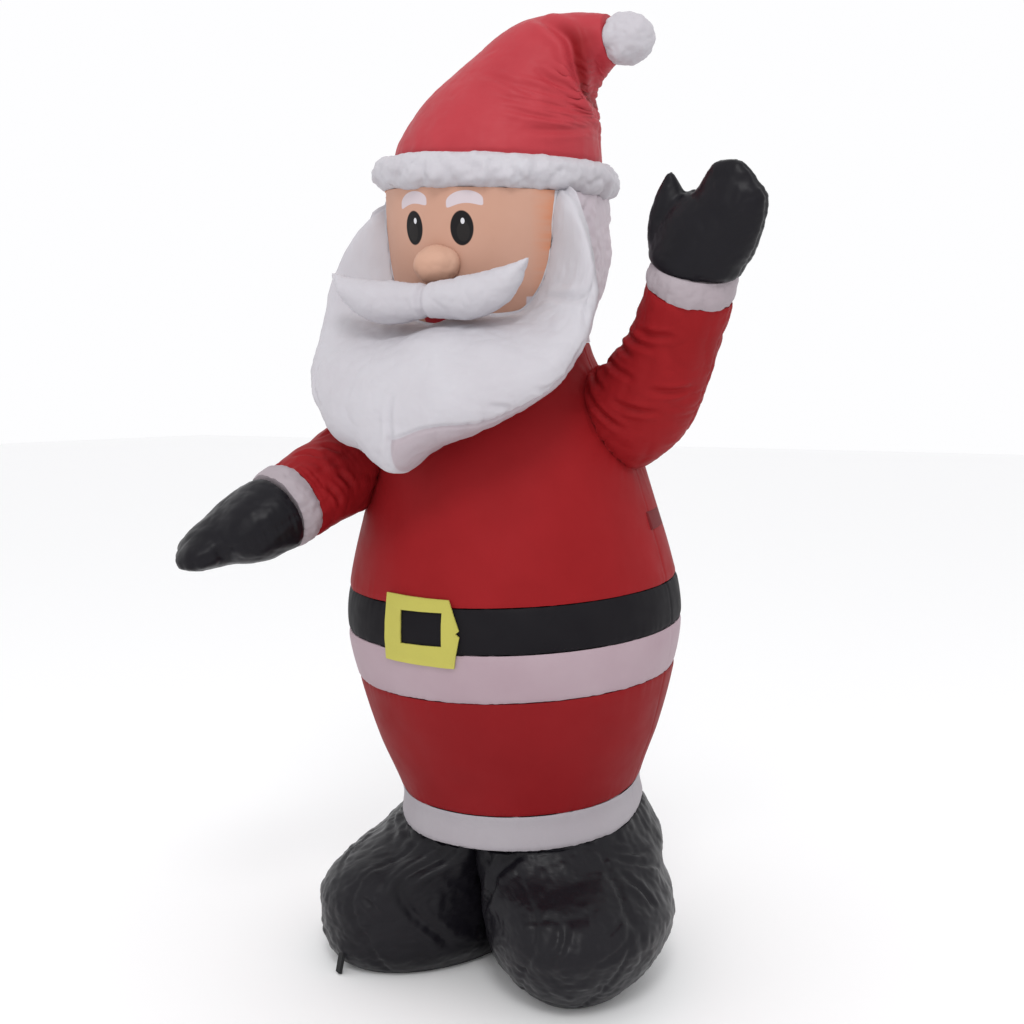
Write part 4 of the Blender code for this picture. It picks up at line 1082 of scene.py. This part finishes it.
def part_of_path(path, start, end, count):
    """Evenly spaced points between two lengths along a path."""
    lengths = lengths_along(path)
    places = np.linspace(start, end, count)
    return np.stack([np.interp(places, lengths, path[:, axis]) for axis in range(3)], axis=1)


def tube_grid(path, radii, columns, side):
    """Rings along a path, the first point of each on the given side."""
    ways = np.gradient(path, axis=0)
    ways /= np.linalg.norm(ways, axis=1)[:, None]
    first = np.array(side, float)
    rings = []
    turns = round_turns(columns)
    for point, way, radius in zip(path, ways, np.broadcast_to(radii, len(path))):
        first = first - way * (first @ way)
        first /= np.linalg.norm(first)
        second = np.cross(way, first)
        rings.append(point + radius * (np.cos(turns)[:, None] * first
                                       + np.sin(turns)[:, None] * second))
    return np.array(rings)


def from_body_on(grid, rows):
    """A tube with each of its lines begun where it leaves the body, and a cap laid on it."""
    to_body = BODY_PLACE.inverted() @ FIGURE_PLACE
    local = placed(grid, to_body)
    inside = np.hypot(local[..., 0], local[..., 1]) < body_radius(local[..., 2]) + 0.0005
    steps = np.arange(len(grid))
    begun = np.array([steps[line][-1] + 1 if line.any() else 0 for line in inside.T])
    share = np.linspace(0.0, 1.0, rows)[:, None]
    places = begun + (len(grid) - 1 - begun) * share
    low = np.minimum(places.astype(int), len(grid) - 2)
    up = (places - low)[..., None]
    around = np.arange(grid.shape[1])
    tube = local[low, around] * (1 - up) + local[low + 1, around] * up
    middle = tube[0].mean(axis=0)
    cap = middle + (tube[0] - middle) * np.linspace(0.04, 0.96, CAP_RINGS)[:, None, None]
    return placed(np.concatenate([off_body(cap, 0.0003), tube]), to_body.inverted())


MITTEN_LENGTH = 0.128
MITTEN_WIDTH = 0.116
MITTEN_THICKNESS = 0.084
MITTEN_VOXEL = 0.0026
MITTEN_COLUMNS = 72
THUMB_RADIUS = 0.023
THUMB_STEPS = 30
# Shares of the mitten's length, of its width to the thumb's side, and of its width.
MITTEN_KNOTS = ((0.00, 0.00, 0.85), (0.10, 0.01, 0.93), (0.28, -0.03, 0.96), (0.44, -0.12, 0.88),
                (0.58, -0.17, 0.77), (0.72, -0.165, 0.71), (0.85, -0.13, 0.57),
                (0.95, -0.13, 0.40), (1.02, -0.13, 0.17))
THUMB_KNOTS = ((0.06, 0.28), (0.26, 0.38), (0.44, 0.42), (0.56, 0.46), (0.69, 0.51))
THUMB_REACH = {"left": 1.0, "right": 0.66}


def mitten_mesh(name, wrist, fingers, palm, thumb_side, thumb_reach):
    """A flat mitten with its thumb, melted into one skin."""
    along = Vector(fingers).normalized()
    flat = Vector(palm)
    flat = (flat - along * flat.dot(along)).normalized()
    across = along.cross(flat).normalized()
    if across.dot(Vector(thumb_side)) < 0:
        across = -across
    along, flat, across = (np.array(way) for way in (along, flat, across))
    start = np.array(wrist) + along * SEAM_GAP
    places = np.linspace(0.0, len(MITTEN_KNOTS) - 1, 60)
    far, drift, share = knot_curves(MITTEN_KNOTS, places)
    path = start + np.outer(far * MITTEN_LENGTH, along) + np.outer(drift * MITTEN_WIDTH, across)
    hand = tube_grid(path, MITTEN_WIDTH / 2 * share, MITTEN_COLUMNS, across)
    depth = (hand - start) @ flat
    reach = np.maximum((hand - start) @ along / MITTEN_LENGTH, 0.0)
    keep = MITTEN_THICKNESS / MITTEN_WIDTH * (1 - 0.30 * reach**2 + 0.28 * (1 - reach) ** 3)
    hand = hand - (depth * (1 - keep))[..., None] * flat
    thumb_path = smooth_path([tuple(start + thumb_reach * (along * MITTEN_LENGTH * a
                                                           + across * MITTEN_WIDTH * b))
                              for a, b in THUMB_KNOTS], THUMB_STEPS)
    thumb_radii = THUMB_RADIUS * smooth_curve(
        ((0, 1.1), (0.3, 1.02), (0.55, 0.84), (0.8, 0.50), (1, 0.12)),
        np.linspace(0, 1, THUMB_STEPS))
    thumb = tube_grid(thumb_path, thumb_radii, 40, across)
    mesh = closed_mesh(name, placed(hand, FIGURE_PLACE))
    extra = closed_mesh(name + "_thumb", placed(thumb, FIGURE_PLACE))
    builder = bmesh.new()
    builder.from_mesh(mesh)
    builder.from_mesh(extra)
    builder.to_mesh(mesh)
    builder.free()
    far_side = hand[::-1, MITTEN_COLUMNS // 2]
    outline = placed(np.concatenate([hand[:, 0], far_side]), FIGURE_PLACE)
    return mesh, outline


def melted(mesh, name):
    """One even skin over a mesh of parts that run into each other."""
    rough = bpy.data.objects.new(name + "_rough", mesh)
    bpy.context.scene.collection.objects.link(rough)
    skin = rough.modifiers.new("skin", "REMESH")
    skin.mode = "VOXEL"
    skin.voxel_size = MITTEN_VOXEL
    ease = rough.modifiers.new("ease", "SMOOTH")
    ease.factor = 0.5
    ease.iterations = 8
    bpy.context.view_layer.update()
    depsgraph = bpy.context.evaluated_depsgraph_get()
    result = bpy.data.meshes.new_from_object(rough.evaluated_get(depsgraph))
    bpy.data.objects.remove(rough, do_unlink=True)
    result.shade_smooth()
    return result


# Painted shade: the cuffs' white is a darker copy of the white cloth.
shaded_cuff_nylon = nylon("shaded_cuff_nylon", (0.39, 0.345, 0.37), (0.33, 0.275, 0.30), 0.60, 0.0010)
mitten_nylon = nylon("mitten_nylon", (0.0045, 0.004, 0.006), (0.008, 0.007, 0.010), 0.38, 0.0009,
                     gleam=0.16)
for side, (shoulder, shares, fingers, palm, thumb_side) in ARMS.items():
    knots = [tuple(np.array(shoulder) + ARM_LENGTH * np.array(share)) for share in shares]
    path = smooth_path(knots, 200)
    way = (path[1] - path[0]) / np.linalg.norm(path[1] - path[0])
    path = np.concatenate([path[:1] - SLEEVE_ROOT * way, path])
    total = lengths_along(path)[-1]
    seam = total - CUFF_LENGTH
    sleeve_path = part_of_path(path, 0.0, seam - SEAM_GAP, SLEEVE_STEPS)
    first = -SLEEVE_ROOT / (seam - SLEEVE_ROOT)
    sleeve_radii = smooth_curve(SLEEVE_RADII, np.linspace(first, 1.0, SLEEVE_STEPS))
    rails = tube_grid(sleeve_path, sleeve_radii, SLEEVE_COLUMNS, UP)
    sleeve = cloth_piece("sleeve_" + side, from_body_on(rails, 120), red_nylon, "red_nylon",
                         FIGURE_PLACE)
    crumple(sleeve, 0.050, 0.0020, seed=11.0)
    shoulder_seam = RINGS[sleeve.name][CAP_RINGS]
    for piece in (sleeve, jacket):
        sew(piece, shoulder_seam, pinch=0.0012, pucker=0.0018, pitch=0.013, reach=0.020)
    sew(sleeve, RINGS[sleeve.name][-1], pinch=0.0008, pucker=0.0014, pitch=0.009, reach=0.014)
    for around in (SLEEVE_SEAM[side], SLEEVE_SEAM[side] + 0.5):
        sew(sleeve, line_on(sleeve, (0.12, around), (1.0, around)), pinch=0.0014,
            pucker=0.0018, pitch=0.012, reach=0.018, seed=around)
    for start, end in SLEEVE_FOLDS[side]:
        crease(sleeve, 0.0032, 0.0038, start, end)
    cuff_path = part_of_path(path, seam + SEAM_GAP, total, CUFF_STEPS)
    cuff_share = np.linspace(0.0, 1.0, CUFF_STEPS)
    cuff_radii = WRIST_RADIUS * (1.0 - 0.03 * cuff_share) + 0.002 * np.sin(math.pi * cuff_share)
    cuff_rails = tube_grid(cuff_path, cuff_radii, SLEEVE_COLUMNS, UP)
    cuff = cloth_piece("cuff_" + side, cuff_rails, shaded_cuff_nylon, "white_nylon", FIGURE_PLACE)
    crumple(cuff, 0.030, 0.0018, seed=8.0)
    crumple(cuff, 0.012, 0.0007, seed=9.0)
    for edge_ring in (0, -1):
        sew(cuff, RINGS[cuff.name][edge_ring], pinch=0.0008, pucker=0.0014, pitch=0.009,
            reach=0.012)
    mesh, outline = mitten_mesh("mitten_" + side, path[-1], fingers, palm, thumb_side,
                                THUMB_REACH[side])
    mitten = bpy.data.objects.new("mitten_" + side + "_cloth", melted(mesh, "mitten_" + side))
    finish_piece(mitten, mitten_nylon, "black_nylon", "mitten_" + side)
    crumple(mitten, 0.050, 0.0014, seed=21.0)
    crumple(mitten, 0.016, 0.0005, seed=22.0)
    sew(mitten, outline, pinch=0.0016, pucker=0.0016, pitch=0.012, reach=0.016)

# The place it stands in: a plain pale floor, soft studio light from the upper left, and
# the camera at the height and angle from which such a figure is looked at.
CAMERA_DISTANCE = 1.623
CAMERA_HEIGHT = 0.738
CAMERA_SIDE = -0.012
CAMERA_TURN = math.radians(30.0)
CAMERA_PITCH = math.radians(5.57)
CAMERA_LENS = 43.95
FLOOR_REACH = 14.0

floor_mesh = bpy.data.meshes.new("floor")
corners = [(x * FLOOR_REACH, y * FLOOR_REACH, 0) for x, y in ((-1, -1), (1, -1), (1, 1), (-1, 1))]
floor_mesh.from_pydata(corners, [], [(0, 1, 2, 3)])
floor = bpy.data.objects.new("floor", floor_mesh)
bpy.context.scene.collection.objects.link(floor)
floor_paint = bpy.data.materials.new("floor_paint")
floor_paint.use_nodes = True
floor_shader = floor_paint.node_tree.nodes["Principled BSDF"].inputs
floor_shader["Base Color"].default_value = (0.95, 0.95, 0.952, 1.0)
floor_shader["Roughness"].default_value = 0.9
floor_mesh.materials.append(floor_paint)


def soft_box(name, place, target, size, power):
    """A round soft light at a place, turned to its target."""
    lamp = bpy.data.lights.new(name, "AREA")
    lamp.shape = "DISK"
    lamp.size = size
    lamp.energy = power
    holder = bpy.data.objects.new(name, lamp)
    holder.location = place
    way = Vector(target) - Vector(place)
    holder.rotation_euler = way.to_track_quat("-Z", "Y").to_euler()
    bpy.context.scene.collection.objects.link(holder)


soft_box("key_light", (1.1, -1.9, 2.9), (0.0, 0.0, 0.7), 0.9, 26.0)
soft_box("front_light", (0.3, -2.9, 1.3), (0.0, 0.0, 0.4), 0.9, 4.0)
world = bpy.data.worlds.new("studio")
world.use_nodes = True
sky = world.node_tree.nodes["Background"].inputs
sky["Color"].default_value = (0.99, 0.99, 1.0, 1.0)
sky["Strength"].default_value = 1.0
bpy.context.scene.world = world
bpy.context.scene.view_settings.view_transform = "Standard"

forward = Vector((-math.sin(CAMERA_TURN), math.cos(CAMERA_TURN), 0.0))
sideways = Vector((math.cos(CAMERA_TURN), math.sin(CAMERA_TURN), 0.0))
camera_place = (FIGURE_PLACE.translation - forward * CAMERA_DISTANCE + sideways * CAMERA_SIDE
                + Vector((0.0, 0.0, CAMERA_HEIGHT)))
camera = bpy.data.objects.new("camera", bpy.data.cameras.new("camera"))
camera.data.lens = CAMERA_LENS
camera.data.sensor_width = 36.0
camera.location = camera_place
camera.rotation_euler = (math.pi / 2 - CAMERA_PITCH, 0.0, CAMERA_TURN)
bpy.context.scene.collection.objects.link(camera)
bpy.context.scene.camera = camera
